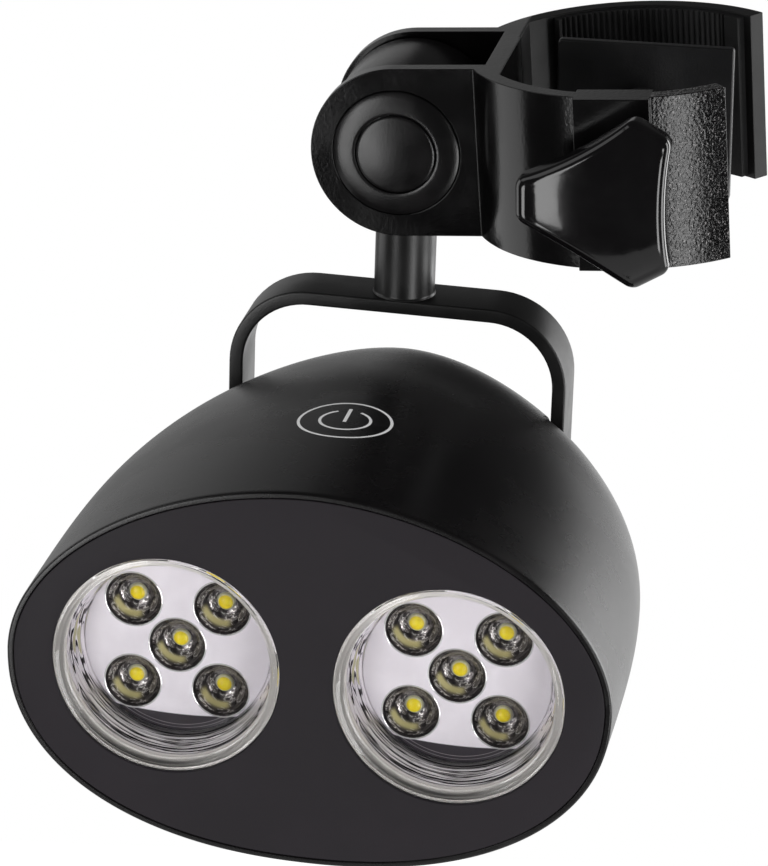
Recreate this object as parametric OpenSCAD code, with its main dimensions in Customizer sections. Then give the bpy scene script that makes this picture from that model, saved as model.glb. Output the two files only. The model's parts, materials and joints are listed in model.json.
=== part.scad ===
// Clamp-on battery work light for a patio umbrella pole or a rail.
// Twin-lamp head on a U-shaped yoke, which swivels on a post below a tilting knuckle.
// Millimetres. +Z runs along the pole, +X points out of the clamp's mouth, -Y is the knob side.
// The origin is on the pole's axis at half the height of the clamp.

/* [Clamp] */
// Height of the clamp along the pole
clamp_h = 34; // [28:1:44]
// Outer radius of the two curved jaws
jaw_r = 32.7; // [30:0.1:38]
// Wall of the jaws
jaw_wall = 3.3; // [2.6:0.1:4.2]
// Reach of the rear jaw past the pole's axis, measured at the middle of its wall
jaw_reach = 21; // [14:0.5:24]
// Reach of the front jaw past the pole's axis
front_reach = 19.6; // [14:0.1:24]
// Distance from the pole's axis to the knuckle's pivot
pivot_x = 45.5; // [44:0.1:50]
// Width over the two ears
ear_w = 28.4; // [26:0.2:34]
// Thickness of one ear
ear_t = 3.1; // [2.8:0.1:4]
// Gap from the pivot to the cross wall
web_gap = 17.9; // [17:0.1:19]
// Thickness of the cross wall
web_t = 3.9; // [3:0.1:5]
// Width of the nut boss on the front jaw
boss_w = 14.6; // [13:0.1:18]
// Distance from the pole's axis to the boss's flat front
boss_front = 33.6; // [33:0.1:37]
// Thickness of the boss from its front to its inner face
boss_depth = 6.6; // [5.5:0.1:9]

/* [Jaw pad] */
// Height of the ribbed rubber pad
pad_h = 33; // [24:1:34]
// Thickness of the pad under its ribs
pad_base = 0.8; // [0.6:0.1:1.5]
// Height of a rib
rib_h = 0.6; // [0.3:0.1:1.2]
// Number of ribs
rib_count = 29; // [8:1:36]
// Thickness of the plain blocks at both ends of the pad
pad_block = 1.9; // [1.4:0.1:2.6]

/* [Pressure plate] */
// Width of the plate
plate_w = 34.7; // [28:0.1:38]
// Height of the plate
plate_h = 31.2; // [24:0.1:34]
// Thickness of the plate
plate_t = 2; // [1.6:0.1:3]
// Distance from the pole's axis to the plate's pressing face
plate_y = 9; // [6:0.1:12]
// Sideways offset of the plate's middle from the screw
plate_shift = 0.1; // [-2:0.1:2]
// Turn of the loosely held plate on the screw's tip, in degrees
plate_turn = 3.6; // [-6:0.1:6]
// Radius of the socket that holds the screw's tip
socket_r = 6.5; // [5.5:0.1:8]
// Length of the socket in front of the plate
socket_len = 6; // [5:0.1:8]

/* [Clamp screw and knob] */
// Radius of the screw
screw_r = 3; // [2.5:0.1:3.5]
// Width across the flats of the nut and of the screw's head
nut_af = 10; // [9:0.1:11]
// Thickness of the nut
nut_t = 3.2; // [2.6:0.1:4]
// Gap between the boss and the knob's hub
knob_gap = 6.7; // [6.4:0.1:9]
// Radius from the knob's centre to the end of a lobe
knob_r = 17.1; // [16:0.1:20]
// Radius from the knob's centre to the bottom of a hollow side
knob_waist = 11.2; // [10:0.1:12.5]
// Width of a lobe's blunt end
lobe_w = 10; // [8:0.1:12]
// Corner radius of a lobe
lobe_corner = 2.6; // [2:0.1:3.5]
// Thickness of the knob at the ends of its lobes
knob_edge = 5.5; // [4:0.1:7]
// Extra thickness of the knob's domed middle
knob_crown = 1.2; // [1:0.1:3]
// Turn of the knob, in degrees
knob_turn = -2.7; // [-60:0.1:60]

/* [Pivot] */
// Radius of the pivot's side discs
disc_r = 12.5; // [11:0.1:13]
// Depth of the discs' recess in the ears
disc_recess = 1.4; // [1:0.1:1.6]
// Radius of the round cap in a disc
cap_r = 7.75; // [7:0.05:9]
// Radius of the pivot sleeve
sleeve_r = 4; // [3.5:0.1:4.5]
// Radius of the knuckle's barrel
knuckle_r = 16; // [15:0.1:16.6]
// Thickness of one friction disc between ear and knuckle
friction_t = 0.45; // [0.3:0.05:0.8]
// Lean of the knuckle at rest, in degrees away from the jaws
lean = 5.2; // [-15:0.1:60]

/* [Post and yoke] */
// Radius of the swivel post
post_r = 6.1; // [5:0.1:7]
// Distance from the pivot to the top face of the yoke
post_len = 33.8; // [32:0.1:45]
// Width of the yoke's strap
yoke_w = 12; // [10:0.1:14]
// Thickness of the yoke's strap
yoke_t = 2.8; // [2:0.1:3.2]
// Width over the yoke's legs
yoke_span = 68.7; // [66:0.1:74]
// Outer corner radius of the yoke
yoke_corner = 16; // [8:0.5:22]
// Drop from the yoke's top face to the hinge axis
hinge_drop = 44.7; // [43:0.1:56]

/* [Lamp head] */
// Half width of the face
face_a = 57.3; // [55:0.1:64]
// Half height of the face
face_b = 37.9; // [36:0.1:42]
// Distance from the hinge axis forward to the face
face_reach = 90; // [86:0.5:100]
// Length of the full dome, if it weren't cut flat at the back
dome_len = 110; // [108:0.5:118]
// Length of the dome that is left
head_len = 104; // [101:0.5:105]
// Wall of the housing
shell = 2.4; // [1.8:0.1:3]
// Thickness of the front bezel
bezel_t = 3; // [2.6:0.1:4]
// Width of the housing's rim round the bezel
rim_w = 1.2; // [0.8:0.1:1.6]
// Distance from the head's middle to a lamp's centre
lamp_x = 26.8; // [25.5:0.1:28]
// Radius of a lamp's opening in the bezel
lamp_r = 21.8; // [20:0.1:22.6]
// Radius of the optic plate at the bottom of a lamp
optic_r = 18; // [17:0.1:19]
// Distance from the face back to the optic plate
optic_depth = 10.2; // [8:0.1:11]
// Distance from the face back to the light-emitting surface
led_depth = 13.3; // [12:0.1:16]
// Pitch of the outer LEDs from the middle one, sideways and upwards
led_pitch = 8.54; // [8:0.01:8.8]
// Radius of one LED's bowl at its mouth
bowl_r = 5.65; // [4:0.05:5.8]
// Greatest tilt of the face upwards, in degrees
tilt_up = 10; // [0:1:12]

/* [Battery] */
// Radius of one battery cell
cell_r = 5.2; // [5:0.05:5.4]
// Length of one battery cell
cell_len = 44.5; // [40:0.1:45]
// Radius of the circle on which the three cells lie
cell_ring = 6.7; // [6.5:0.1:7]
// Radius of the screw-in battery cap
bat_cap_r = 17; // [16:0.1:18]

/* [Hidden] */

$fn = 96;
eps = 0.01;
fit = 0.05; // clearance of a seat or a running fit
disc_gap = 0.15; // clearance round the pivot's side discs
bore_gap = 0.3; // clearance round the clamp screw in the boss
black = [0.05, 0.05, 0.055];
satin = [0.11, 0.11, 0.115];
steel = [0.62, 0.63, 0.65];

// Clamp: derived places
ear_y = ear_w / 2;
jaw_in = jaw_r - jaw_wall;
rear_angle = acos(jaw_reach / (jaw_r - jaw_wall / 2));
front_angle = acos(front_reach / (jaw_r - jaw_wall / 2));
web_x = -pivot_x + web_gap;
ear_root = 1; // depth of the ears' ends in the cross wall
boss_in = boss_front - boss_depth;
nut_r = nut_af / 2 / cos(30);
// Pad: the blocks and the ribs span these angles round the pole's axis
pad_from_angle = 51;
pad_to_angle = 131.5;
block_from_angle = 59.5;
block_to_angle = 129;
// Knob: stack along the screw, from the boss outwards
hub_r = 7;
hub_len = 2.7;
knob_back = boss_front + knob_gap;
head_t = 3.2;
tip_gap = 0.6;
clip_t = 0.8;
clip_neck = 2.3;
clip_r = 4.6;
// Pivot: stack from the ear's face outwards
ear_in = ear_y - ear_t;
knuckle_y = ear_in - friction_t - fit;
disc_seat = ear_y - disc_recess;
disc_floor = 0.75;
disc_edge = 1.5;
disc_top = 2.4;
sleeve_head = 1;
sleeve_head_r = cap_r - 3 * fit;
cap_edge = 0.7;
cap_dome = 0.6;
pivot_screw_r = 2.5;
// Post: stack below the pivot
flange_w = 2.2;
flange_r = post_r + flange_w;
flange_t = 1.9;
flange_top = 7.2;
washer_t = 0.5;
bush_end = 13;
post_screw_r = 2;
post_screw_len = 12;
// Hinge: stack from the cheek outwards
leg_in = yoke_span / 2 - yoke_t;
hinge_washer_t = 0.6;
cheek_x = leg_in - hinge_washer_t - 2 * fit;
hinge_r = 2;
hinge_head_r = 4.2;
hinge_head_t = 2.2;
insert_r = 3;
insert_len = 7;
insert_boss_r = 5.5;
leg_gap = 1.2;
slot_r = yoke_w / 2 + leg_gap;
// Lamp: stack from the face backwards
lens_lip = 1.6;
lens_flange = 1.15;
lens_seat = 1.3;
lens_seat_r = lamp_r + lens_seat;
cup_wall = 1;
lens_rim = 1.8;
cup_mouth_r = lamp_r - lens_rim;
collar_wall = 0.9;
collar_r = lens_seat_r + collar_wall;
led_t = 0.8;
led_w = 3.5;
board_t = 1.6;
board_front = led_depth + led_t;
board_edge = 2.4;
board_r = optic_r + board_edge;
post_d = 25.7; // distance of a board screw from the lamp's centre
board_post_r = 2.6;
board_screw_r = 0.95;
gasket_t = 0.8;
bezel_inset = rim_w + fit;
led_spots = [[0, 0], [-1, 1], [1, 1], [-1, -1], [1, -1]];
// Battery bay, centred on the head's middle line
tube_in = 12.8;
tube_out = 14.8;
carrier_r = tube_in - 4 * fit;
carrier_end = 2.25;
cell_room = 2;
pocket_len = cell_len + cell_room;
carrier_len = pocket_len + 2 * carrier_end;
spring_room = 2.2;
plug_len = 3.3;
plug_gap = 0.5;
// Distances from the face, stacked forwards from the battery cap's plug
carrier_front = head_len - plug_len - plug_gap - carrier_len;
tube_front = carrier_front - spring_room;
contact_t = 0.4;
control_r = 14.5;
control_tab = 16.6;
control_screw_r = 0.95;
bat_cap_t = 2.2;
seal_r = 0.75;
// Leads from the LED boards and the touch sensor to the control board
lead_r = 0.6;
lead_x = 11;
lead_z = 11;
// Touch sensor under the power sign on the dome's roof
touch_r = 8;
touch_lead_in = 9.9; // the sign's middle lies this far in front of the battery tube
touch_back = tube_front - touch_lead_in;
touch_z = 32;

// Frames ------------------------------------------------------------------

// Everything that hangs from the knuckle leans with it
module hang() { translate([-pivot_x, 0, 0]) rotate([0, lean, 0]) children(); }
// The head's frame: hinge axis along X, the face towards -Y
module head() { hang() translate([0, 0, -post_len - hinge_drop]) children(); }
// A place d behind the face, for shapes drawn along +Z and laid along +Y
module from_face(d) { translate([0, d - face_reach, 0]) rotate([-90, 0, 0]) children(); }
module lamp(side) { translate([side * lamp_x, 0, 0]) children(); }
// A shape drawn along +Z, laid along +Y or along the side's X direction
module along_y(y = 0) { translate([0, y, 0]) rotate([-90, 0, 0]) children(); }
module along_x(side) { rotate([0, side * 90, 0]) children(); }
module tube(r_out, r_in, h) {
  difference() {
    cylinder(r = r_out, h = h);
    translate([0, 0, -eps]) cylinder(r = r_in, h = h + 2 * eps);
  }
}

// Clamp -------------------------------------------------------------------

// A wedge from the origin that opens towards +X, by one angle to each side
module wedge(low, high, size) {
  polygon([[0, 0], [size * cos(high), size * sin(high)], [size, size * sin(high)],
           [size, -size * sin(low)], [size * cos(low), -size * sin(low)]]);
}

// The jaws' ring ends flat where it meets the ears' outer faces
root_x = -sqrt(jaw_r * jaw_r - ear_y * ear_y);

module jaw_outline() {
  difference() {
    circle(r = jaw_r);
    circle(r = jaw_in);
    wedge(front_angle, rear_angle, 2 * jaw_r);
    translate([root_x - 2 * jaw_r, -jaw_r]) square([2 * jaw_r, 2 * jaw_r]);
    // Room for the knuckle between the ears, up to the cross wall
    translate([web_x - 2 * jaw_r, -ear_in]) square([2 * jaw_r, 2 * ear_in]);
  }
  // The cross wall spans the ears and widens into the ring
  translate([web_x, -ear_in]) square([web_t, 2 * ear_in]);
  intersection() {
    circle(r = jaw_r - jaw_wall / 2);
    translate([web_x, -jaw_r]) square([web_t, 2 * jaw_r]);
  }
}

module ears() {
  // They run in to the cross wall and to the middle of the ring's wall, whichever lies further in
  tip = -pivot_x - clamp_h / 2;
  root = max(web_x + ear_root, root_x + jaw_wall / 2);
  intersection() {
    for (side = [-1, 1])
      translate([tip, side > 0 ? ear_in : -ear_y, -clamp_h / 2]) cube([root - tip, ear_t, clamp_h]);
    union() {
      translate([-pivot_x, -ear_y, 0]) along_y() cylinder(r = clamp_h / 2, h = ear_w);
      translate([-pivot_x, -ear_y, -clamp_h / 2]) cube([pivot_x, ear_w, clamp_h]);
    }
  }
}

module clamp_body() {
  color(black) difference() {
    union() {
      translate([0, 0, -clamp_h / 2]) linear_extrude(clamp_h) jaw_outline();
      ears();
      translate([-boss_w / 2, -boss_front, -clamp_h / 2]) cube([boss_w, boss_depth, clamp_h]);
    }
    translate([-pivot_x, -ear_y - eps, 0]) along_y() cylinder(r = sleeve_r + fit, h = ear_w + 2 * eps);
    translate([-pivot_x, -ear_y - eps, 0]) along_y() cylinder(r = disc_r + disc_gap, h = disc_recess + eps);
    translate([-pivot_x, disc_seat, 0]) along_y() cylinder(r = disc_r + disc_gap, h = disc_recess + eps);
    translate([0, -boss_front - eps, 0]) along_y() cylinder(r = screw_r + bore_gap, h = boss_depth + 1);
    translate([0, -boss_in - nut_t - fit, 0]) along_y() cylinder(r = nut_r + fit, h = nut_t + 1, $fn = 6);
  }
}

module jaw_pad() {
  pitch = (block_to_angle - block_from_angle) / rib_count;
  valley = jaw_in - pad_base;
  crest = valley - rib_h;
  far = 2 * jaw_in;
  // One rib is a trapezium across a pitch
  ribs = [for (i = [0 : rib_count - 1], s = [[0.1, valley], [0.35, crest], [0.65, crest], [0.9, valley]])
    let (a = block_from_angle + (i + s[0]) * pitch) [s[1] * cos(a), s[1] * sin(a)]];
  function at(r, a) = [r * cos(a), r * sin(a)];
  block = jaw_in - pad_block;
  inner = concat([at(block, pad_from_angle), at(block, block_from_angle - 1)], ribs,
                 [at(block, block_to_angle + 1), at(block, pad_to_angle)]);
  color(satin) translate([0, 0, -pad_h / 2]) linear_extrude(pad_h) intersection() {
    circle(r = jaw_in - fit);
    polygon(concat(inner, [at(far, pad_to_angle), at(far, 90), at(far, pad_from_angle)]));
  }
}

module screw_nut() {
  color(steel) difference() {
    translate([0, -boss_in - nut_t, 0]) along_y() cylinder(r = nut_r, h = nut_t, $fn = 6);
    translate([0, -boss_front, 0]) along_y() cylinder(r = screw_r + fit, h = boss_depth + 1);
  }
}

// Pressure plate and screw ------------------------------------------------

module pressure_plate() {
  corner = 0.8;
  front = plate_y - plate_t;
  color(black) difference() {
    union() {
      rotate([0, plate_turn, 0]) translate([plate_shift, front, 0]) along_y() linear_extrude(plate_t) union() {
        square([plate_w - 2 * corner, plate_h], center = true);
        square([plate_w, plate_h - 2 * corner], center = true);
        for (x = [-1, 1], y = [-1, 1])
          translate([x * (plate_w / 2 - corner), y * (plate_h / 2 - corner)]) circle(r = corner);
      }
      translate([0, front - socket_len, 0]) along_y() cylinder(r = socket_r, h = socket_len + eps);
    }
    translate([0, front - socket_len - eps, 0]) along_y() cylinder(r = screw_r + fit, h = socket_len);
    translate([0, clip_y() - fit, 0]) along_y() cylinder(r = clip_r + fit, h = clip_t + 2 * fit);
  }
}

// The clip lies across the middle of the socket
function clip_y() = plate_y - plate_t - socket_len / 2 - clip_t / 2;

module plate_clip() {
  color(steel) translate([0, clip_y(), 0]) along_y() tube(clip_r, clip_neck, clip_t);
}

module clamp_screw() {
  tip = plate_y - plate_t - tip_gap;
  color(steel) difference() {
    union() {
      translate([0, -knob_back - head_t / 2, 0]) along_y() cylinder(r = screw_r, h = knob_back + head_t / 2 + tip);
      translate([0, -knob_back - head_t, 0]) along_y() cylinder(r = nut_r - 2 * fit, h = head_t, $fn = 6);
    }
    translate([0, clip_y() - fit, 0]) along_y() tube(screw_r + 1, clip_neck - fit, clip_t + 2 * fit);
  }
}

// Three blunt lobes with rounded corners, joined by hollow arcs that touch the corners
function knob_points() =
  let (
    u = [knob_r - lobe_corner, lobe_w / 2 - lobe_corner],
    v = [cos(60), sin(60)],
    // Radius of a hollow side, from its distance to the corner circle
    side_r = (pow(lobe_corner, 2) - pow(knob_waist, 2) + 2 * knob_waist * (u * v) - u * u)
      / (2 * (knob_waist - u * v - lobe_corner)),
    c = (knob_waist + side_r) * v,
    turn = atan2(c[1] - u[1], c[0] - u[0])
  )
  [for (k = [0 : 2], p = concat(
      [for (i = [0 : 6]) let (a = turn * (i / 6 - 1)) [u[0] + lobe_corner * cos(a), -u[1] + lobe_corner * sin(a)]],
      [for (i = [0 : 6]) let (a = turn * i / 6) u + lobe_corner * [cos(a), sin(a)]],
      [for (i = [1 : 11]) let (a = 180 + turn + (120 - 2 * turn) * i / 12) c + side_r * [cos(a), sin(a)]]))
    let (t = 120 * k) [p[0] * cos(t) - p[1] * sin(t), p[0] * sin(t) + p[1] * cos(t)]];

module thumb_knob() {
  crown_r = (knob_r * knob_r + knob_crown * knob_crown) / (2 * knob_crown);
  color(black) difference() {
    union() {
      translate([0, -knob_back, 0]) rotate([90, 0, 0]) intersection() {
        rotate(knob_turn) linear_extrude(knob_edge + knob_crown + 1) polygon(knob_points());
        translate([0, 0, knob_edge + knob_crown - crown_r]) sphere(r = crown_r, $fn = 360);
      }
      translate([0, -knob_back - eps, 0]) along_y() cylinder(r = hub_r, h = hub_len + eps);
    }
    translate([0, -knob_back - head_t - fit, 0]) along_y() cylinder(r = nut_r - fit, h = head_t + fit, $fn = 6);
    translate([0, -knob_back - eps, 0]) along_y() cylinder(r = screw_r + fit, h = knob_gap + 1);
  }
}

// Pivot -------------------------------------------------------------------

module pivot_place() { translate([-pivot_x, 0, 0]) children(); }
// Mirrors a front part to the rear ear
module rear_side() { mirror([0, 1, 0]) children(); }

module pivot_disc() {
  pivot_place() translate([0, -disc_seat, 0]) rotate([90, 0, 0]) rotate_extrude() polygon([
    [sleeve_r + fit, 0], [disc_r, 0], [disc_r, disc_edge], [disc_r - 0.6, disc_edge + 0.35],
    [(disc_r + cap_r) / 2, disc_top - 0.15], [cap_r + 0.7, disc_top], [cap_r + 0.2, disc_top - 0.3],
    [cap_r + 0.2, disc_floor], [sleeve_r + fit, disc_floor]
  ]);
}
module pivot_disc_front() { color(satin) pivot_disc(); }
module pivot_disc_rear() { color(satin) rear_side() pivot_disc(); }

module pivot_cap() {
  crown_r = (cap_r * cap_r + cap_dome * cap_dome) / (2 * cap_dome);
  base = disc_seat + disc_floor + sleeve_head + fit;
  pivot_place() intersection() {
    translate([0, -base, 0]) rotate([90, 0, 0]) cylinder(r = cap_r, h = cap_edge + cap_dome);
    translate([0, crown_r - base - cap_edge - cap_dome, 0]) sphere(r = crown_r, $fn = 360);
  }
}
module pivot_cap_front() { color(satin) pivot_cap(); }
module pivot_cap_rear() { color(satin) rear_side() pivot_cap(); }

module pivot_sleeve() {
  head = disc_seat + disc_floor;
  color(steel) pivot_place() difference() {
    union() {
      translate([0, -head - sleeve_head, 0]) along_y() cylinder(r = sleeve_head_r, h = sleeve_head);
      translate([0, -head, 0]) along_y() cylinder(r = sleeve_r, h = head + disc_seat);
    }
    along_y(-fit) cylinder(r = pivot_screw_r + fit / 2, h = ear_y);
  }
}

module pivot_screw() {
  head = disc_seat + disc_floor;
  color(steel) pivot_place() {
    along_y(head) cylinder(r = sleeve_head_r, h = sleeve_head);
    along_y(0.5) cylinder(r = pivot_screw_r, h = head);
  }
}

module friction_discs() {
  color("dimgray") pivot_place() for (y = [knuckle_y + fit / 2, -ear_in + fit / 2])
    along_y(y) tube(disc_r + 1.5, sleeve_r + 1, friction_t);
}

// Knuckle, post and yoke --------------------------------------------------

module knuckle() {
  color(satin) hang() difference() {
    along_y(-knuckle_y) cylinder(r = knuckle_r, h = 2 * knuckle_y);
    along_y(-knuckle_y - eps) cylinder(r = sleeve_r + fit, h = 2 * knuckle_y + 2 * eps);
    translate([0, 0, -knuckle_r - 1]) cylinder(r = flange_r + fit, h = knuckle_r + 1 - flange_top + washer_t + 2 * fit);
  }
}

module swivel_washer() {
  color(steel) hang() translate([0, 0, -flange_top + fit]) tube(flange_r - 0.2, post_r / 2, washer_t);
}

module swivel_bush() {
  top = flange_top + flange_t + fit;
  color("dimgray") hang() translate([0, 0, -bush_end]) tube(flange_r, post_r + fit, bush_end - top);
}

module swivel_post() {
  color(satin) hang() difference() {
    union() {
      translate([0, 0, -post_len]) cylinder(r = post_r, h = post_len - flange_top);
      translate([0, 0, -flange_top - flange_t]) cylinder(r = flange_r - fit, h = flange_t);
    }
    translate([0, 0, -post_len - eps]) cylinder(r = post_screw_r + fit, h = post_screw_len);
  }
}

// The yoke's outline in the plane of its strap, shrunk by t
module yoke_outline(t) {
  half = yoke_span / 2 - t;
  corner = yoke_corner - t;
  translate([-half, -hinge_drop - yoke_w]) square([2 * half, hinge_drop + yoke_w - yoke_corner]);
  translate([-half + corner, -yoke_corner - eps]) square([2 * (half - corner), corner + eps]);
  for (side = [-1, 1]) translate([side * (half - corner), -yoke_corner]) circle(r = corner);
}

module yoke() {
  color(satin) hang() translate([0, 0, -post_len]) difference() {
    intersection() {
      rotate([90, 0, 0]) translate([0, 0, -yoke_w / 2]) linear_extrude(yoke_w) difference() {
        yoke_outline(0);
        yoke_outline(yoke_t);
      }
      union() {
        translate([-yoke_span, -yoke_w, -hinge_drop]) cube([2 * yoke_span, 2 * yoke_w, hinge_drop + 1]);
        translate([-yoke_span, 0, -hinge_drop]) along_x(1) cylinder(r = yoke_w / 2, h = 2 * yoke_span);
      }
    }
    translate([-yoke_span, 0, -hinge_drop]) along_x(1) cylinder(r = hinge_r + fit, h = 2 * yoke_span);
    translate([0, 0, -yoke_t - 1]) cylinder(r = post_screw_r + fit, h = yoke_t + 2);
    translate([0, 0, -yoke_t - eps]) cylinder(r1 = 2 * post_screw_r + fit, r2 = post_screw_r + fit, h = post_screw_r + eps);
  }
}

module post_screw() {
  color(steel) hang() translate([0, 0, -post_len - yoke_t]) {
    cylinder(r1 = 2 * post_screw_r, r2 = post_screw_r, h = post_screw_r);
    cylinder(r = post_screw_r, h = yoke_t + post_screw_len - 1);
  }
}

// Housing -----------------------------------------------------------------

// The face and every section of the dome are ovals: pointed a little above, fuller below
oval_up_power = 1.9;
oval_down_power = 2.2;
function signed_pow(v, p) = sign(v) * pow(abs(v), p);
function oval(a, b, t) =
  let (n = sin(t) >= 0 ? oval_up_power : oval_down_power)
  [a * signed_pow(cos(t), 2 / n), b * signed_pow(sin(t), 2 / n)];
// The dome's half width and half height, s of its full length behind the face
dome_power = 3.8;
function dome_a(a, s) = a * pow(1 - pow(s, dome_power), 1 / 1.7);
function dome_b(b, s) = b * pow(1 - pow(s, dome_power), 1 / 3.9);

// A dome from y0 to y1 behind the face, thinner than the outer one by wall
module dome(y0, y1, wall, around, rings) {
  len = dome_len - wall;
  // Rings lie closer together where the dome curves most, towards the back
  depth = [for (i = [0 : rings]) y0 + (y1 - y0) * sin(90 * i / rings)];
  points = [for (d = depth, j = [0 : around - 1])
    let (s = max(d, 0) / len, p = oval(dome_a(face_a - wall, s), dome_b(face_b - wall, s), 360 * j / around))
    [p[0], d - face_reach, p[1]]];
  quads = [for (i = [0 : rings - 1], j = [0 : around - 1])
    let (k = (j + 1) % around, a = i * around, b = a + around) each [[a + j, a + k, b + k], [a + j, b + k, b + j]]];
  ends = [[for (j = [around - 1 : -1 : 0]) j], [for (j = [0 : around - 1]) rings * around + j]];
  polyhedron(points, concat(quads, ends), convexity = 6);
}

// Oval prism on the face, inset from its edge
module oval_plate(inset, d, t, around = 72) {
  translate([0, d - face_reach + t, 0]) rotate([90, 0, 0]) linear_extrude(t)
    polygon([for (j = [0 : around - 1]) oval(face_a - inset, face_b - inset, 360 * j / around)]);
}

// The room that a yoke leg sweeps from tilt_up to straight back, grown by g
module leg_slot(side, g) {
  reach = 2 * face_a;
  r = slot_r + g;
  steps = 10;
  start = 180 + tilt_up;
  round_end = [for (i = [0 : steps]) let (a = start + (270 - start) * i / steps) r * [cos(a), sin(a)]];
  front_top = round_end[0] + reach * [-sin(tilt_up), cos(tilt_up)];
  translate([side > 0 ? cheek_x - g : -cheek_x + g - reach, 0, 0]) rotate([90, 0, 90]) linear_extrude(reach)
    polygon(concat(round_end, [[reach, -r], [reach, reach], front_top]));
}

module head_housing() {
  front = bezel_t + gasket_t;
  back = head_len - shell;
  bay_y = tube_front - face_reach;
  overlap = shell / 2;
  color(black) head() difference() {
    union() {
      difference() {
        dome(0, head_len, 0, 72, 16);
        difference() {
          dome(front, back, shell, 48, 10);
          for (side = [-1, 1]) leg_slot(side, shell);
        }
      }
      along_y(bay_y) cylinder(r = tube_out, h = back + overlap - tube_front);
      for (side = [-1, 1]) {
        along_x(side) translate([0, 0, cheek_x - insert_len - 2]) cylinder(r = insert_boss_r, h = insert_len + 2 - overlap);
        translate([side * control_tab, bay_y, 0]) along_y() cylinder(r = 2.5, h = 12);
      }
      touch_stand();
    }
    for (side = [-1, 1]) leg_slot(side, 0);
    oval_plate(rim_w, -1, front + 1);
    along_y(bay_y - 1) cylinder(r = tube_in, h = head_len);
    for (side = [-1, 1]) {
      along_x(side) translate([0, 0, cheek_x - insert_len]) cylinder(r = insert_r + fit, h = insert_len + 1);
      translate([side * control_tab, bay_y - 1, 0]) along_y() cylinder(r = control_screw_r + fit, h = 9);
    }
  }
}

// Flat stand under the roof for the touch sensor's pad
module touch_stand() {
  translate([0, touch_back - face_reach, touch_z]) cylinder(r = touch_r + 1, h = face_b - shell - touch_z + 1);
}

// Bezel and lamps ---------------------------------------------------------

module front_bezel() {
  color(black) head() difference() {
    union() {
      oval_plate(bezel_inset, 0, bezel_t);
      // Lip that centres the bezel in the housing
      difference() {
        oval_plate(shell + 0.2, bezel_t - eps, 4);
        oval_plate(shell + 1.6, bezel_t, 5);
      }
      for (side = [-1, 1]) lamp(side) {
        from_face(bezel_t - eps) cylinder(r = collar_r, h = board_front - bezel_t - fit);
        for (z = [-1, 1]) translate([0, 0, z * post_d])
          from_face(bezel_t - eps) cylinder(r = board_post_r, h = board_front - bezel_t - fit);
      }
    }
    for (side = [-1, 1]) lamp(side) {
      from_face(-1) cylinder(r = lamp_r, h = 4);
      from_face(lens_lip) cylinder(r = lens_seat_r, h = board_front);
      for (z = [-1, 1]) translate([0, 0, z * post_d])
        from_face(board_front - 6) cylinder(r = board_screw_r + fit, h = 7);
    }
  }
}

module bezel_gasket() {
  color("dimgray") head() difference() {
    oval_plate(rim_w + fit, bezel_t, gasket_t);
    oval_plate(shell + 0.1, bezel_t - 1, gasket_t + 2);
  }
}

// Clear lens: a bevelled rim round a sunk window, and a flange behind the bezel's lip
module lens(side) {
  bevel = 1.5;
  window = 1.2;
  back = lens_lip + fit + lens_flange;
  color([0.85, 0.88, 0.9, 0.4]) head() lamp(side) from_face(0) rotate_extrude() polygon([
    [0, bevel], [cup_mouth_r, bevel], [lamp_r - 0.35, 0.1], [lamp_r - fit, 0.25], [lamp_r - fit, lens_lip + fit],
    [lens_seat_r - fit, lens_lip + fit], [lens_seat_r - fit, back], [cup_mouth_r, back],
    [cup_mouth_r, bevel + window], [0, bevel + window]
  ]);
}
module lens_left() { lens(-1); }
module lens_right() { lens(1); }

// Bright cup between the lens and the optic plate
module reflector(side) {
  front = lens_lip + lens_flange + 2 * fit;
  color(steel) head() lamp(side) from_face(0) rotate_extrude() polygon([
    [cup_mouth_r, front], [lens_seat_r - fit, front], [lens_seat_r - fit, front + cup_wall],
    [cup_mouth_r + cup_wall, front + cup_wall], [optic_r + cup_wall + fit, optic_depth],
    [optic_r + cup_wall + fit, board_front - fit], [optic_r + fit, board_front - fit],
    [optic_r + fit, optic_depth]
  ]);
}
module reflector_left() { reflector(-1); }
module reflector_right() { reflector(1); }

// Plate with one bowl for each LED
module optic(side) {
  depth = board_front - optic_depth - fit;
  throat = 2.9;
  color("lavender") head() lamp(side) difference() {
    from_face(optic_depth) cylinder(r = optic_r, h = depth);
    for (p = led_spots) translate([p[0] * led_pitch, 0, p[1] * led_pitch]) from_face(optic_depth - eps)
      cylinder(r1 = bowl_r, r2 = throat, h = depth + 2 * eps);
  }
}
module optic_left() { optic(-1); }
module optic_right() { optic(1); }

module led_board(side) {
  color("ivory") head() lamp(side) difference() {
    from_face(board_front) union() {
      cylinder(r = board_r, h = board_t);
      translate([-3, -post_d, 0]) cube([6, 2 * post_d, board_t]);
      for (z = [-1, 1]) translate([0, z * post_d, 0]) cylinder(r = 3, h = board_t);
    }
    for (z = [-1, 1]) translate([0, 0, z * post_d]) from_face(board_front - 1) cylinder(r = board_screw_r + 0.1, h = 4);
  }
}
module led_board_left() { led_board(-1); }
module led_board_right() { led_board(1); }

module leds(side) {
  color("gold") head() lamp(side) for (p = led_spots)
    translate([p[0] * led_pitch - led_w / 2, led_depth - face_reach, p[1] * led_pitch - led_w / 2])
      cube([led_w, led_t, led_w]);
}
module leds_left() { leds(-1); }
module leds_right() { leds(1); }

module board_screws() {
  color(steel) head() for (side = [-1, 1], z = [-1, 1]) lamp(side) translate([0, 0, z * post_d]) {
    from_face(board_front - 5) cylinder(r = board_screw_r, h = 5 + board_t + eps);
    from_face(board_front + board_t) cylinder(r = 1.9, h = 1.3);
  }
}

// Hinge -------------------------------------------------------------------

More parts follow.
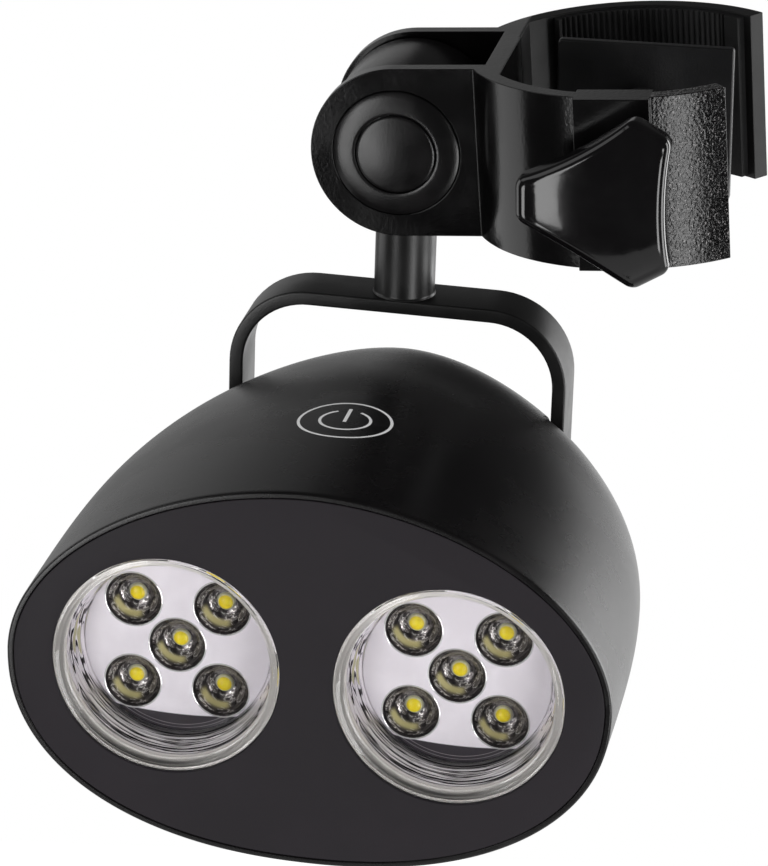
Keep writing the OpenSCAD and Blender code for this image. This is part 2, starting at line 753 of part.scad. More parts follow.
module hinge_screws() {
  color(steel) head() for (side = [-1, 1]) along_x(side) {
    translate([0, 0, cheek_x - insert_len + 0.5]) cylinder(r = hinge_r, h = insert_len + leg_in - cheek_x + yoke_t);
    translate([0, 0, leg_in + yoke_t + fit]) cylinder(r = hinge_head_r, h = hinge_head_t);
  }
}

module hinge_washers() {
  color("dimgray") head() for (side = [-1, 1]) along_x(side)
    translate([0, 0, cheek_x + fit]) tube(insert_boss_r, hinge_r + fit, hinge_washer_t);
}

module hinge_inserts() {
  color("goldenrod") head() for (side = [-1, 1]) along_x(side)
    translate([0, 0, cheek_x - insert_len + fit]) tube(insert_r, hinge_r + fit / 2, insert_len - fit);
}

// Control board and touch sensor ------------------------------------------

module touch_pad() {
  color("peru") head() translate([0, touch_back - face_reach, touch_z - 0.35]) cylinder(r = touch_r, h = 0.3);
}

module control_board() {
  color("darkgreen") head() difference() {
    from_face(tube_front - board_t - fit) union() {
      cylinder(r = control_r, h = board_t);
      translate([-control_tab, -3, 0]) cube([2 * control_tab, 6, board_t]);
      for (side = [-1, 1]) translate([side * control_tab, 0, 0]) cylinder(r = 3, h = board_t);
    }
    for (side = [-1, 1]) translate([side * control_tab, 0, 0])
      from_face(tube_front - 4) cylinder(r = control_screw_r + 0.1, h = 6);
  }
}

module control_parts() {
  front = tube_front - board_t - fit - face_reach;
  color("dimgray") head() {
    translate([-4, front - 1.6, -3]) cube([8, 1.6, 5]);
    translate([5.5, front - 1.2, 3.5]) cube([3, 1.2, 3]);
    translate([-7.5, front, -6.5]) rotate([90, 0, 0]) cylinder(r = 2.5, h = 5);
    translate([4, front - 1, -9]) cube([4, 1, 2.5]);
  }
}

module control_screws() {
  front = tube_front - board_t - fit;
  color(steel) head() for (side = [-1, 1]) translate([side * control_tab, 0, 0]) {
    from_face(front - 1) cylinder(r = control_screw_r, h = 9);
    from_face(front - 1.3) cylinder(r = 1.9, h = 1.3);
  }
}

module led_leads() {
  board = board_front + board_t + fit;
  control = tube_front - board_t - 2 * fit;
  color("firebrick") head() for (side = [-1, 1], z = [-1, 1])
    translate([side * lead_x, 0, z * 4]) from_face(board) cylinder(r = lead_r, h = control - board, $fn = 32);
}

// Down from the pad, round a bend and back into the control board
module touch_lead() {
  bend = 2.5;
  pad = touch_z - 0.35 - fit;
  y = touch_back - face_reach;
  control = tube_front - board_t - 2 * fit - face_reach;
  color("firebrick") head() translate([3, 0, 0]) {
    translate([0, y, lead_z + bend]) cylinder(r = lead_r, h = pad - lead_z - bend, $fn = 32);
    translate([0, y + bend, lead_z + bend]) rotate([0, 90, 0]) rotate([0, 0, -90]) rotate_extrude(angle = 90)
      translate([bend, 0]) circle(r = lead_r, $fn = 32);
    translate([0, y + bend, lead_z]) along_y() cylinder(r = lead_r, h = control - y - bend, $fn = 32);
  }
}

// Battery -----------------------------------------------------------------

module cell_places() {
  for (k = [0 : 2]) rotate([0, 90 + 120 * k, 0]) translate([cell_ring, 0, 0]) children();
}

module battery_carrier() {
  color("dimgray") head() difference() {
    from_face(carrier_front) cylinder(r = carrier_r, h = carrier_len);
    cell_places() from_face(carrier_front + carrier_end) cylinder(r = cell_r + 0.2, h = pocket_len);
  }
}

module battery_cells() {
  start = carrier_front + carrier_end + contact_t + 1.2;
  color("silver") head() cell_places() {
    from_face(start) cylinder(r = cell_r, h = cell_len - 0.8);
    from_face(start + cell_len - 0.8 - eps) cylinder(r = 1.8, h = 0.8);
  }
}

module battery_springs() {
  start = carrier_front + carrier_end + contact_t;
  color(steel) head() {
    cell_places() from_face(start) difference() {
      cylinder(r1 = 3.4, r2 = 2.2, h = 1.2);
      translate([0, 0, -eps]) cylinder(r1 = 2.8, r2 = 1.6, h = 1.2 + 2 * eps);
    }
    from_face(tube_front) difference() {
      cylinder(r1 = 4.4, r2 = 3, h = carrier_front - tube_front - fit);
      translate([0, 0, -eps]) cylinder(r1 = 3.6, r2 = 2.2, h = carrier_front - tube_front + eps);
    }
  }
}

module battery_contacts() {
  color(steel) head() cell_places() {
    from_face(carrier_front + carrier_end) cylinder(r = 4.2, h = contact_t);
    from_face(carrier_front + carrier_end + pocket_len - contact_t) cylinder(r = 4.2, h = contact_t);
  }
}

module battery_cap() {
  slot_w = 2;
  color(black) head() from_face(0) difference() {
    union() {
      translate([0, 0, head_len + fit]) cylinder(r = bat_cap_r, h = bat_cap_t - 0.6);
      translate([0, 0, head_len + fit + bat_cap_t - 0.6]) cylinder(r1 = bat_cap_r, r2 = bat_cap_r - 0.6, h = 0.6);
      translate([0, 0, head_len + fit - plug_len]) cylinder(r = tube_in - fit, h = plug_len + eps);
    }
    translate([-bat_cap_r * 0.6, -slot_w / 2, head_len + fit + bat_cap_t - 1.1])
      cube([bat_cap_r * 1.2, slot_w, 2]);
    translate([0, 0, head_len - plug_len / 2]) rotate_extrude() translate([tube_in - seal_r, 0]) circle(r = seal_r + fit, $fn = 32);
  }
}

module cap_seal() {
  color("dimgray") head() from_face(head_len - plug_len / 2) rotate_extrude()
    translate([tube_in - seal_r - fit, 0]) circle(r = seal_r - fit / 2, $fn = 32);
}

clamp_body();
jaw_pad();
screw_nut();
pivot_sleeve();
pivot_screw();
pivot_disc_front();
pivot_disc_rear();
pivot_cap_front();
pivot_cap_rear();
friction_discs();
pressure_plate();
plate_clip();
clamp_screw();
thumb_knob();
knuckle();
swivel_washer();
swivel_bush();
swivel_post();
yoke();
post_screw();
head_housing();
front_bezel();
bezel_gasket();
lens_left();
lens_right();
reflector_left();
reflector_right();
optic_left();
optic_right();
led_board_left();
led_board_right();
leds_left();
leds_right();
board_screws();
hinge_screws();
hinge_washers();
hinge_inserts();
touch_pad();
touch_lead();
control_board();
control_parts();
control_screws();
led_leads();
battery_carrier();
battery_cells();
battery_springs();
battery_contacts();
battery_cap();
cap_seal();
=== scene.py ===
import json
import math

import bmesh
import bpy
import numpy as np
from mathutils import Matrix, Vector


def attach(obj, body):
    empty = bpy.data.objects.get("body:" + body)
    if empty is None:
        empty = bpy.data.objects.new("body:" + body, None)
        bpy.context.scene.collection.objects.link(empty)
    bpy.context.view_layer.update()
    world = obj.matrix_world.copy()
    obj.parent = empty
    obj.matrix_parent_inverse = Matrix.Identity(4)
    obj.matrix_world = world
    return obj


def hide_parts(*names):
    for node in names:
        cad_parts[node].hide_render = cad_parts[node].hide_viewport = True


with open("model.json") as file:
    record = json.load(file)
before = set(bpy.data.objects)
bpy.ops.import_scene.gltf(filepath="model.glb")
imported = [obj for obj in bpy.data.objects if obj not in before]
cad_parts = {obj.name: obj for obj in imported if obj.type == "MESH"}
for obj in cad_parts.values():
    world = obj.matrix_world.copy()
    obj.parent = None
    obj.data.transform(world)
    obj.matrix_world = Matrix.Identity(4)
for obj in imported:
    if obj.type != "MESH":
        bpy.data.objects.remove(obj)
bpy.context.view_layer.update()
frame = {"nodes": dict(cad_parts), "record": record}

nodes = frame["nodes"]
print("frame loaded:", len(nodes), "nodes")

# the same leaning frames as in the part's source, in millimetres and degrees
place = dict(pivotX=-45.5, lean=5.2, postLength=33.8, hingeDrop=44.7, faceForward=90)
millimetre = 0.001  # in metres
lean = math.radians(place["lean"])
hingeBelow = place["postLength"] + place["hingeDrop"]
faceY = -place["faceForward"]
quarter = math.pi / 2


def joined(*parts):
    # coordinates, each an array or a number, side by side as points
    return np.stack(np.broadcast_arrays(*parts), -1)


def rotated(x, y, angle):
    # turns a pair of coordinates anticlockwise
    c, s = np.cos(angle), np.sin(angle)
    return x * c - y * s, x * s + y * c


def roundAngles(count):
    return np.linspace(0, math.tau, count, endpoint=False)


def rowToRow(p):
    # millimetres to metres
    return np.asarray(p, float) * millimetre


def pivotToRow(p):
    # moves to the pivot, without the lean
    return rowToRow(np.asarray(p, float) + [place["pivotX"], 0, 0])


def hangToRow(p):
    # turns by the knuckle's lean about Y, then moves to the pivot
    x, y, z = np.moveaxis(np.asarray(p, float), -1, 0)
    x, z = rotated(x, z, -lean)
    return pivotToRow(joined(x, y, z))


def headToRow(p):
    # the head hangs below the pivot by the post and the yoke's legs
    return hangToRow(np.asarray(p, float) - [0, 0, hingeBelow])


# mesh making: a patch is a set of points and the faces between them
def sheetOf(points, closeRows=False, closeCols=False):
    # a grid of points: one quad between neighbouring rows and columns, wrapped round where asked
    rows, cols = points.shape[:2]
    a, b = np.meshgrid(np.arange(rows - (not closeRows)), np.arange(cols - (not closeCols)),
                       indexing="ij")
    a1, b1 = (a + 1) % rows, (b + 1) % cols
    quads = joined(a * cols + b, a1 * cols + b, a1 * cols + b1, a * cols + b1)
    return points.reshape(-1, 3), quads.reshape(-1, 4)


def fanOf(loop):
    # a flat cap that fills one closed loop of points
    return np.asarray(loop), np.arange(len(loop))[None, :]


def tubeOf(loops):
    # a skin through closed loops of points, with its first and last loop capped
    return [sheetOf(loops, False, True), fanOf(loops[0]), fanOf(loops[-1])]


def blockOf(xs, ys, zs):
    # the box between two values on each axis
    corners = np.array([(x, y, z) for x in xs for y in ys for z in zs], float)
    return [(corners, np.array([[0, 1, 3, 2], [4, 6, 7, 5], [0, 4, 5, 1], [2, 3, 7, 6],
                                [0, 2, 6, 4], [1, 5, 7, 3]]))]


def addObject(name, data):
    thing = bpy.data.objects.new(name, data)
    bpy.context.scene.collection.objects.link(thing)
    return thing


def finishShading(mesh, sharp):
    mesh.polygons.foreach_set("use_smooth", np.ones(len(mesh.polygons), bool))
    mesh.set_sharp_from_angle(angle=math.radians(sharp))
    mesh.update()


def buildMesh(name, patches, toRow=headToRow, merge=1e-6, sharp=32.0):
    # patches become one mesh in the row frame; doubles merge, normals point outwards
    verts, faces, base = [], [], 0
    for points, corners in patches:
        verts.append(np.asarray(points, float))
        faces += (corners + base).tolist()
        base += len(points)
    mesh = bpy.data.meshes.new(name)
    mesh.from_pydata(toRow(np.concatenate(verts)), [], faces)
    bm = bmesh.new()
    bm.from_mesh(mesh)
    bmesh.ops.remove_doubles(bm, verts=bm.verts, dist=merge)
    bmesh.ops.dissolve_degenerate(bm, edges=bm.edges, dist=merge)
    bmesh.ops.recalc_face_normals(bm, faces=bm.faces)
    bm.to_mesh(mesh)
    bm.free()
    finishShading(mesh, sharp)
    return addObject(name, mesh)


def applyModifiers(piece):
    # the piece keeps the mesh that its modifiers give
    bpy.context.view_layer.update()
    depsgraph = bpy.context.evaluated_depsgraph_get()
    old, shape = piece.data, bpy.data.meshes.new_from_object(piece.evaluated_get(depsgraph))
    piece.modifiers.clear()
    piece.data = shape
    bpy.data.meshes.remove(old)


def carved(piece, cutters, toRow=headToRow, sharp=30):
    # takes each cutter's patches out of the piece, then shades it afresh
    for patches in cutters:
        cutter = buildMesh("cutter", patches, toRow)
        cut = piece.modifiers.new("cut", "BOOLEAN")
        cut.operation, cut.solver, cut.object = "DIFFERENCE", "EXACT", cutter
        applyModifiers(piece)
        bpy.data.objects.remove(cutter)
    finishShading(piece.data, sharp)
    return piece


def dress(mesh, finish):
    mesh.materials.clear()
    mesh.materials.append(finishes[finish])


def mount(piece, body, slotName, finish, *replaced):
    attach(piece, body)
    if replaced:
        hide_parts(*replaced)
    dress(piece.data, finish)


def circleOf(angles, radius=1.0):
    return radius * joined(np.cos(angles), np.sin(angles))


def rounded(points, radius, steps=5, closed=True):
    # each corner of a polyline becomes a quadratic curve that starts and ends one radius from it
    p = np.asarray(points, float)
    toB, toA = np.roll(p, 1, 0) - p, np.roll(p, -1, 0) - p
    lb, la = np.linalg.norm(toB, axis=1), np.linalg.norm(toA, axis=1)
    cut = np.minimum(radius, 0.49 * np.minimum(lb, la))  # two curves never meet on a short side
    a = p + toB * (cut / lb)[:, None]
    b = p + toA * (cut / la)[:, None]
    t = np.linspace(0, 1, steps + 1)[None, :, None]
    out = (1 - t) ** 2 * a[:, None] + 2 * t * (1 - t) * p[:, None] + t ** 2 * b[:, None]
    if not closed:
        out[0], out[-1] = p[0], p[-1]
    out = out.reshape(-1, p.shape[1])
    return out[np.r_[True, np.linalg.norm(np.diff(out, axis=0), axis=1) > 1e-6]]


def spun(profile, around=128, closed=False):
    # a profile of (radius, height) pairs carried round the Z axis
    a = roundAngles(around)[:, None]
    r, h = np.asarray(profile, float).T
    return [sheetOf(joined(r * np.cos(a), r * np.sin(a), h), True, closed)]


def drumOf(radius, low, high, around=64):
    # a plain closed cylinder along Z
    return spun([(0, low), (radius, low), (radius, high), (0, high)], around)


def turned(patches, how, at=(0, 0, 0)):
    # moves patches drawn along +Z: how lists which old axis and sign each new axis takes
    return [(joined(*(sign * pts[:, axis] for axis, sign in how)) + at, faces)
            for pts, faces in patches]


alongY = [(0, 1), (2, 1), (1, -1)]  # +Z goes to +Y
towardsFront = [(0, 1), (2, -1), (1, 1)]  # +Z goes to -Y
alongX = [(2, 1), (1, 1), (0, -1)]  # +Z goes to +X
backX = [(2, -1), (1, 1), (0, 1)]  # +Z goes to -X


def softened(node, width, segments=3, angle=32.0, flat=0.6, sharp=40):
    # a merged copy of a CAD node with its flat faces joined up and its edges rounded
    mesh = nodes[node].data.copy()
    bm = bmesh.new()
    bm.from_mesh(mesh)
    bmesh.ops.remove_doubles(bm, verts=bm.verts, dist=2e-6)
    bmesh.ops.dissolve_limit(bm, angle_limit=math.radians(flat), verts=bm.verts, edges=bm.edges)
    edges = [e for e in bm.edges
             if len(e.link_faces) == 2 and e.calc_face_angle(0) > math.radians(angle)]
    bmesh.ops.bevel(bm, geom=edges, offset=width * millimetre, offset_type="OFFSET",
                    segments=segments, profile=0.5, affect="EDGES", clamp_overlap=True,
                    harden_normals=False)
    bm.to_mesh(mesh)
    bm.free()
    finishShading(mesh, sharp)
    piece = addObject(node + "_shown", mesh)
    # flat faces keep their own direction, so that only the rounded edges shade over
    even = piece.modifiers.new("even", "WEIGHTED_NORMAL")
    even.weight = 100
    even.keep_sharp = True
    applyModifiers(piece)
    piece.data.name = "soft_" + node
    return piece


# shader making: a helper adds its node to the tree of the values that it reads
def feed(node, values):
    # each named input takes a number, a colour or another node's output
    for key, value in values.items():
        if isinstance(value, bpy.types.NodeSocket):
            node.id_data.links.new(value, node.inputs[key])
        else:
            node.inputs[key].default_value = (*value, 1) if isinstance(value, tuple) else value


def fedBy(socket):
    return socket.links[0].from_socket


def addNode(tree, kind, values=None, settings=None):
    node = tree.nodes.new("ShaderNode" + kind)
    for key, value in (settings or {}).items():
        setattr(node, key, value)
    feed(node, values or {})
    return node


def mathNode(operation, a, b):
    tree = (a if isinstance(a, bpy.types.NodeSocket) else b).id_data
    return addNode(tree, "Math", {0: a, 1: b}, {"operation": operation}).outputs[0]


def times(a, b):
    return mathNode("MULTIPLY", a, b)


def plus(a, b):
    return mathNode("ADD", a, b)


def rampNode(value, low, high, outLow=0.0, outHigh=1.0):
    # a smooth step from outLow, at low, to outHigh, at high
    return addNode(value.id_data, "MapRange", {
        "Value": value, "From Min": low, "From Max": high, "To Min": outLow, "To Max": outHigh},
        {"interpolation_type": "SMOOTHSTEP"}).outputs["Result"]


def fallNode(value, low, high):
    # 1 below low and 0 above high
    return rampNode(value, low, high, 1.0, 0.0)


def bandNode(value, low, high, soft):
    # 1 between low and high, fading to 0 over soft on both sides
    return times(rampNode(value, low - soft, low + soft), fallNode(value, high - soft, high + soft))


def noiseNode(vector, scale, detail, rough, warp=0.0):
    return addNode(vector.id_data, "TexNoise", {
        "Vector": vector, "Scale": scale, "Detail": detail, "Roughness": rough,
        "Distortion": warp}).outputs["Fac"]


def mixColour(factor, dark, light):
    # each end is a colour or the output of another node
    return addNode(factor.id_data, "Mix", {0: factor, 6: dark, 7: light},
                   {"data_type": "RGBA"}).outputs[2]


def stretched(values, factors):
    # a point whose three coordinates are values times factors, for a noise to read
    parts = [times(v, f) for v, f in zip(values, factors)]
    return addNode(parts[0].id_data, "CombineXYZ", dict(enumerate(parts))).outputs[0]


def splitPoint(point):
    return addNode(point.id_data, "SeparateXYZ", {0: point}).outputs


def objectPoint(tree):
    return addNode(tree, "TexCoord").outputs["Object"]


def newGroup(name, inputs, outputs):
    tree = bpy.data.node_groups.new(name, "ShaderNodeTree")
    for label, value in inputs.items():
        socket = tree.interface.new_socket(label, in_out="INPUT", socket_type="NodeSocketFloat")
        socket.default_value = value
    for label in outputs:
        tree.interface.new_socket(label, in_out="OUTPUT", socket_type="NodeSocketFloat")
    return tree, tree.nodes.new("NodeGroupInput").outputs, tree.nodes.new("NodeGroupOutput")


# each noise is its detail and roughness, each ramp its low and high end
grainLook = dict(
    cells=(2, 0.5), cellRamp=(0.36, 0.66), fine=(2, 0.6), fineTimes=3.1, broad=(4, 0.6),
    broadRamp=(0.35, 0.7))


def makeGrainGroup(look):
    # moulded grain: cells of one size and a finer noise, as a height, and soft patches as a mask
    tree, given, end = newGroup("mouldedGrain", {"Cell Size": 0.0005, "Fine Share": 0.4,
                                                 "Smear": 60.0}, ("Height", "Patches"))
    co = objectPoint(tree)
    scale = mathNode("DIVIDE", 1.0, given["Cell Size"])
    cells = noiseNode(co, scale, *look["cells"])
    fine = noiseNode(co, times(scale, look["fineTimes"]), *look["fine"])
    broad = noiseNode(co, given["Smear"], *look["broad"])
    feed(end, {"Height": plus(rampNode(cells, *look["cellRamp"]),
                                    times(fine, given["Fine Share"])),
                     "Patches": rampNode(broad, *look["broadRamp"])})
    return tree


def makeEdgeGroup():
    # rubbed edges and painted edge highlights: bright where the surface turns outwards sharply
    tree, given, end = newGroup("wornEdgeAndHighlight", {"Start": 0.53, "Full": 0.64}, ("Mask",))
    turn = addNode(tree, "NewGeometry").outputs["Pointiness"]
    feed(end, {"Mask": rampNode(turn, given["Start"], given["Full"])})
    return tree


def makeSpotGroup():
    # where a point lies on its own bowl or lamp: radius, direction and depth behind the face
    tree, _, end = newGroup("spotPlace", {}, ("Radius", "Across", "Up", "Depth"))
    spot = addNode(tree, "Attribute", settings={"attribute_name": "spot"})
    x, depth, z = splitPoint(spot.outputs["Vector"])
    radius = mathNode("SQRT", plus(times(x, x), times(z, z)), 0.0)
    safe = mathNode("MAXIMUM", radius, 0.01)  # the very middle has no direction
    feed(end, {"Radius": radius, "Across": mathNode("DIVIDE", x, safe),
                     "Up": mathNode("DIVIDE", z, safe), "Depth": depth})
    return tree


grainGroup = makeGrainGroup(grainLook)
edgeGroup = makeEdgeGroup()
spotGroup = makeSpotGroup()


def placeGroup(tree, group, values=None):
    return addNode(tree, "Group", values, {"node_tree": group}).outputs


def grainOf(tree, look):
    return placeGroup(tree, grainGroup, {"Cell Size": look["cell"], "Fine Share": look["fine"],
                                         "Smear": look["smear"]})


def bumpOf(height, look):
    return addNode(height.id_data, "Bump", {"Strength": look["bump"], "Distance": look["depth"],
                                            "Height": height}).outputs["Normal"]


def newMaterial(name, values):
    material = bpy.data.materials.new(name)
    material.use_nodes = True
    tree = material.node_tree
    shader = tree.nodes["Principled BSDF"]
    feed(shader, values)
    return material, tree, shader


def grainedPlastic(name, look):
    # plastic, enamel or metal: colour drifts in soft patches, grain bumps, edges a little brighter,
    # as rubbed wear and as a painted edge highlight
    material, tree, shader = newMaterial(name, {
        "Specular IOR Level": look["gloss"], "Metallic": look["metal"], "Coat Weight": look["coat"],
        "Coat Roughness": look["coatRough"]})
    grain = grainOf(tree, look)
    edge = placeGroup(tree, edgeGroup, {"Start": look["edge"][0], "Full": look["edge"][1]})
    base = mixColour(grain["Patches"], look["dark"], look["light"])
    feed(shader, {
        "Base Color": mixColour(times(edge["Mask"], look["edgeWearAndHighlightShare"]), base, look["edgeWearAndHighlight"]),
        "Roughness": rampNode(grain["Patches"], 0.0, 1.0, *look["rough"]),
        "Normal": bumpOf(grain["Height"], look)})
    return material


def grey(value):
    return value, value, value


# what a look has unless it says otherwise; sizes are in metres, and edge is where the rubbed wear
# and painted edge highlight start and are full, as Blender's pointiness
plain = dict(
    gloss=0.5, metal=0, coat=0, coatRough=0.1, cell=0.0006, fine=0.4, smear=60, bump=0.1,
    depth=0.00003, edgeWearAndHighlightShare=0.1, edge=(0.53, 0.64))
inside = dict(
    plain, gloss=0.4, rough=(0.4, 0.5), cell=0.0005, fine=0.5, bump=0.15, depth=0.00004, edgeWearAndHighlightShare=0.2)
metal = dict(
    plain, metal=1, rough=(0.25, 0.38), cell=0.0003, fine=0.6, smear=120, bump=0.15, edgeWearAndHighlightShare=0.4)
looks = dict(
    head=dict(
        plain, dark=(0.0024, 0.002, 0.0023), light=(0.0045, 0.0038, 0.0042), rough=(0.26, 0.3),
        cell=0.00035, fine=0.5, smear=45, bump=0.2, edgeWearAndHighlightShare=0.25, edgeWearAndHighlight=grey(0.03)),
    bezel=dict(
        plain, dark=(0.0108, 0.0083, 0.0115), light=(0.0142, 0.0108, 0.0148), gloss=0.3,
        rough=(0.55, 0.62), cell=0.0004, fine=0.6, smear=35, bump=0.18, edgeWearAndHighlightShare=0.2,
        edgeWearAndHighlight=grey(0.03)),
    clamp=dict(
        plain, dark=(0.001, 0.0009, 0.001), light=(0.0022, 0.002, 0.0022), rough=(0.13, 0.18),
        cell=0.0007, fine=0.7, smear=70, bump=0.8, depth=0.000045, edgeWearAndHighlight=grey(0.02)),
    clampSmooth=dict(
        plain, dark=(0.005, 0.005, 0.0055), light=(0.01, 0.0095, 0.01), rough=(0.34, 0.42),
        cell=0.0004, fine=0.6, smear=70, bump=0.22, depth=0.00005, edgeWearAndHighlightShare=0.4, edgeWearAndHighlight=grey(0.04)),
    knob=dict(
        plain, dark=(0.0025, 0.0022, 0.0025), light=(0.004, 0.0037, 0.004), rough=(0.1, 0.15),
        cell=0.0012, fine=0.2, smear=90, bump=0.03, depth=0.00005, edgeWearAndHighlight=grey(0.02), coat=0.3,
        coatRough=0.04),
    disc=dict(
        plain, dark=(0.003, 0.0028, 0.003), light=(0.006, 0.0055, 0.0058), rough=(0.2, 0.26),
        cell=0.0003, fine=0.7, smear=90, bump=0.16, depth=0.00004, edgeWearAndHighlightShare=0.3, edgeWearAndHighlight=grey(0.04)),
    # the enamel's bright edges are mostly painted edge highlight, a little rubbed wear
    enamel=dict(
        plain, dark=grey(0.006), light=(0.011, 0.0108, 0.0108), rough=(0.3, 0.4), cell=0.0005,
        fine=0.5, bump=0.14, depth=0.00004, edgeWearAndHighlightShare=0.6, edgeWearAndHighlight=(0.11, 0.105, 0.105)),
    rubber=dict(
        plain, dark=grey(0.008), light=(0.015, 0.015, 0.0155), gloss=0.25, rough=(0.6, 0.75),
        cell=0.0003, fine=0.7, smear=80, bump=0.3, depth=0.00005, edgeWearAndHighlight=grey(0.03)),
    darkPlastic=dict(
        inside, dark=(0.01, 0.01, 0.011), light=(0.018, 0.018, 0.02), edgeWearAndHighlight=grey(0.05)),
    greyPlastic=dict(inside, dark=(0.16, 0.16, 0.17), light=(0.22, 0.22, 0.23), edgeWearAndHighlight=grey(0.3)),
    steel=dict(metal, dark=(0.42, 0.43, 0.45), light=(0.6, 0.61, 0.62), edgeWearAndHighlight=grey(0.75)),
    brass=dict(metal, dark=(0.5, 0.35, 0.12), light=(0.66, 0.48, 0.19), edgeWearAndHighlight=(0.8, 0.65, 0.35)),
    boardWhite=dict(
        plain, dark=(0.68, 0.68, 0.65), light=(0.78, 0.78, 0.75), gloss=0.4, rough=(0.35, 0.45),
        bump=0.08, edgeWearAndHighlight=grey(0.8)),
    boardGreen=dict(
        plain, dark=(0.008, 0.09, 0.03), light=(0.012, 0.13, 0.045), rough=(0.3, 0.4), smear=90,
        edgeWearAndHighlight=(0.2, 0.3, 0.2)),
    wire=dict(
        plain, dark=(0.42, 0.02, 0.015), light=(0.55, 0.035, 0.025), gloss=0.4, rough=(0.35, 0.45),
        smear=90, edgeWearAndHighlight=(0.6, 0.2, 0.2)),
    cell=dict(
        plain, dark=(0.4, 0.41, 0.43), light=(0.52, 0.53, 0.55), rough=(0.28, 0.36), bump=0.06,
        edgeWearAndHighlightShare=0.2, edgeWearAndHighlight=grey(0.7), metal=0.8))
finishes = {name: grainedPlastic(name + "Finish", look) for name, look in looks.items()}
print("finishes made:", len(finishes))

# finishes that only one piece has; the zones on the clamp body are in metres
clampZones = dict(
    grainX=(0.007, 0.008), grainY=(-0.002, 0.002), elsewhere=0.12, matteX=(-0.0245, -0.0235),
    matteY=(0.006, 0.008), matteBy=0.4, paintedGlintNoise=(2600, 1, 0.4), paintedGlintRamp=(0.64, 0.72),
    paintedGlint=(0.2, 0.19, 0.19))


def makeClamp(look, zones):
    # one moulded black: coarse grain with painted bright glints right of the boss, finer grain
    # elsewhere, matte rear jaw
    material = grainedPlastic("clampBodyFinish", look)
    tree = material.node_tree
    shader = tree.nodes["Principled BSDF"]
    bump = fedBy(shader.inputs["Normal"]).node
    co = objectPoint(tree)
    x, y = splitPoint(co)[:2]
    right = times(rampNode(x, *zones["grainX"]), fallNode(y, *zones["grainY"]))
    share = rampNode(right, 0.0, 1.0, zones["elsewhere"], 1.0)
    rear = times(rampNode(x, *zones["matteX"]), rampNode(y, *zones["matteY"]))
    # bright specks painted into the colour as glints of light on the grain
    paintedGlintSpecks = noiseNode(co, *zones["paintedGlintNoise"])
    paintedGlint = times(rampNode(paintedGlintSpecks, *zones["paintedGlintRamp"]), right)
    feed(bump, {"Height": times(fedBy(bump.inputs["Height"]), share)})
    feed(shader, {
        "Roughness": plus(fedBy(shader.inputs["Roughness"]), times(rear, zones["matteBy"])),
        "Base Color": mixColour(paintedGlint, fedBy(shader.inputs["Base Color"]), zones["paintedGlint"])})
    return material


clearLook = dict(ior=1.49, letsThrough=0.9)


def makeClear(look):
    # clear lens; rays towards the lamps pass straight through it, so that the plate behind is lit
    material, tree, shader = newMaterial("clearLensFinish", {
        "Base Color": grey(1), "Roughness": 0.0, "IOR": look["ior"], "Transmission Weight": 1.0})
    shadow = addNode(tree, "LightPath").outputs["Is Shadow Ray"]
    stopped = times(shadow, look["letsThrough"])
    feed(shader, {"Alpha": mathNode("SUBTRACT", 1.0, stopped)})
    return material


# places on a lamp are in millimetres; the noises read across, up and depth, stretched
cupLook = dict(
    flange=(19.7, 19.8), flangeColour=(0.72, 0.69, 0.66), flangeMetal=0.25, flangeRough=0.35,
    rough=0.09, metal=0.4, dark=(0.02, 0.017, 0.021), light=(0.9, 0.88, 0.88),
    wall=(0.84, 0.8, 0.84), petal=(0.025, 0.02, 0.023), yellow=(0.42, 0.40, 0.16), paintedLedReflectionShare=0.8,
    lineStretch=(0.55, 0.55, 1.5), lineNoise=(1.7, 3, 0.7), lineRamp=(0.46, 0.53), foot=(7.8, 9.4),
    footShadeShare=0.25, leafStretch=(0.5, 1.5, 0.42), leafSlant=0.08, leafNoise=(1.5, 1, 0.4),
    petals=((0.535, 0.60, 0.01), (0.43, 0.45, 0.008)), fillRamp=(0.63, 0.66),
    sideFrom=(-0.66, -0.45), cell=0.0012, fine=0.3, smear=120, bump=0.15, depth=0.00006)


def makeCup(look):
    # mirror wall with fine bright lines painted as reflections, painted shade towards its foot, and
    # a satin flange under the lens's rim
    material, tree, shader = newMaterial("cupFinish", {})
    r, across, up, depth = placeGroup(tree, spotGroup)
    lines = noiseNode(stretched((across, up, depth), look["lineStretch"]), *look["lineNoise"])
    # painted shade: the bright lines fade towards the plate
    foot = rampNode(depth, *look["foot"], 1.0, look["footShadeShare"])
    paintedLineReflections = times(rampNode(lines, *look["lineRamp"]), foot)
    low = mixColour(paintedLineReflections, look["dark"], look["light"])
    # the sides: painted pale, with leaf-shaped dark reflections of the bowls painted on, some of
    # them filled with a painted yellow reflection of the LEDs
    slanted = plus(up, times(depth, look["leafSlant"]))
    leaves = noiseNode(stretched((across, slanted, depth), look["leafStretch"]), *look["leafNoise"])
    petal = plus(*(bandNode(leaves, *band) for band in look["petals"]))
    paintedLedFill = times(rampNode(leaves, *look["fillRamp"]), look["paintedLedReflectionShare"])
    side = mixColour(paintedLedFill, mixColour(petal, look["wall"], look["petal"]), look["yellow"])
    # painted reflections: dark with bright lines low in the cup, pale on its sides
    wall = mixColour(rampNode(up, *look["sideFrom"]), low, side)
    flange = rampNode(r, *look["flange"])
    feed(shader, {
        "Base Color": mixColour(flange, wall, look["flangeColour"]),
        "Metallic": rampNode(flange, 0.0, 1.0, look["metal"], look["flangeMetal"]),
        "Roughness": rampNode(flange, 0.0, 1.0, look["rough"], look["flangeRough"]),
        "Normal": bumpOf(grainOf(tree, look)["Height"], look)})
    return material


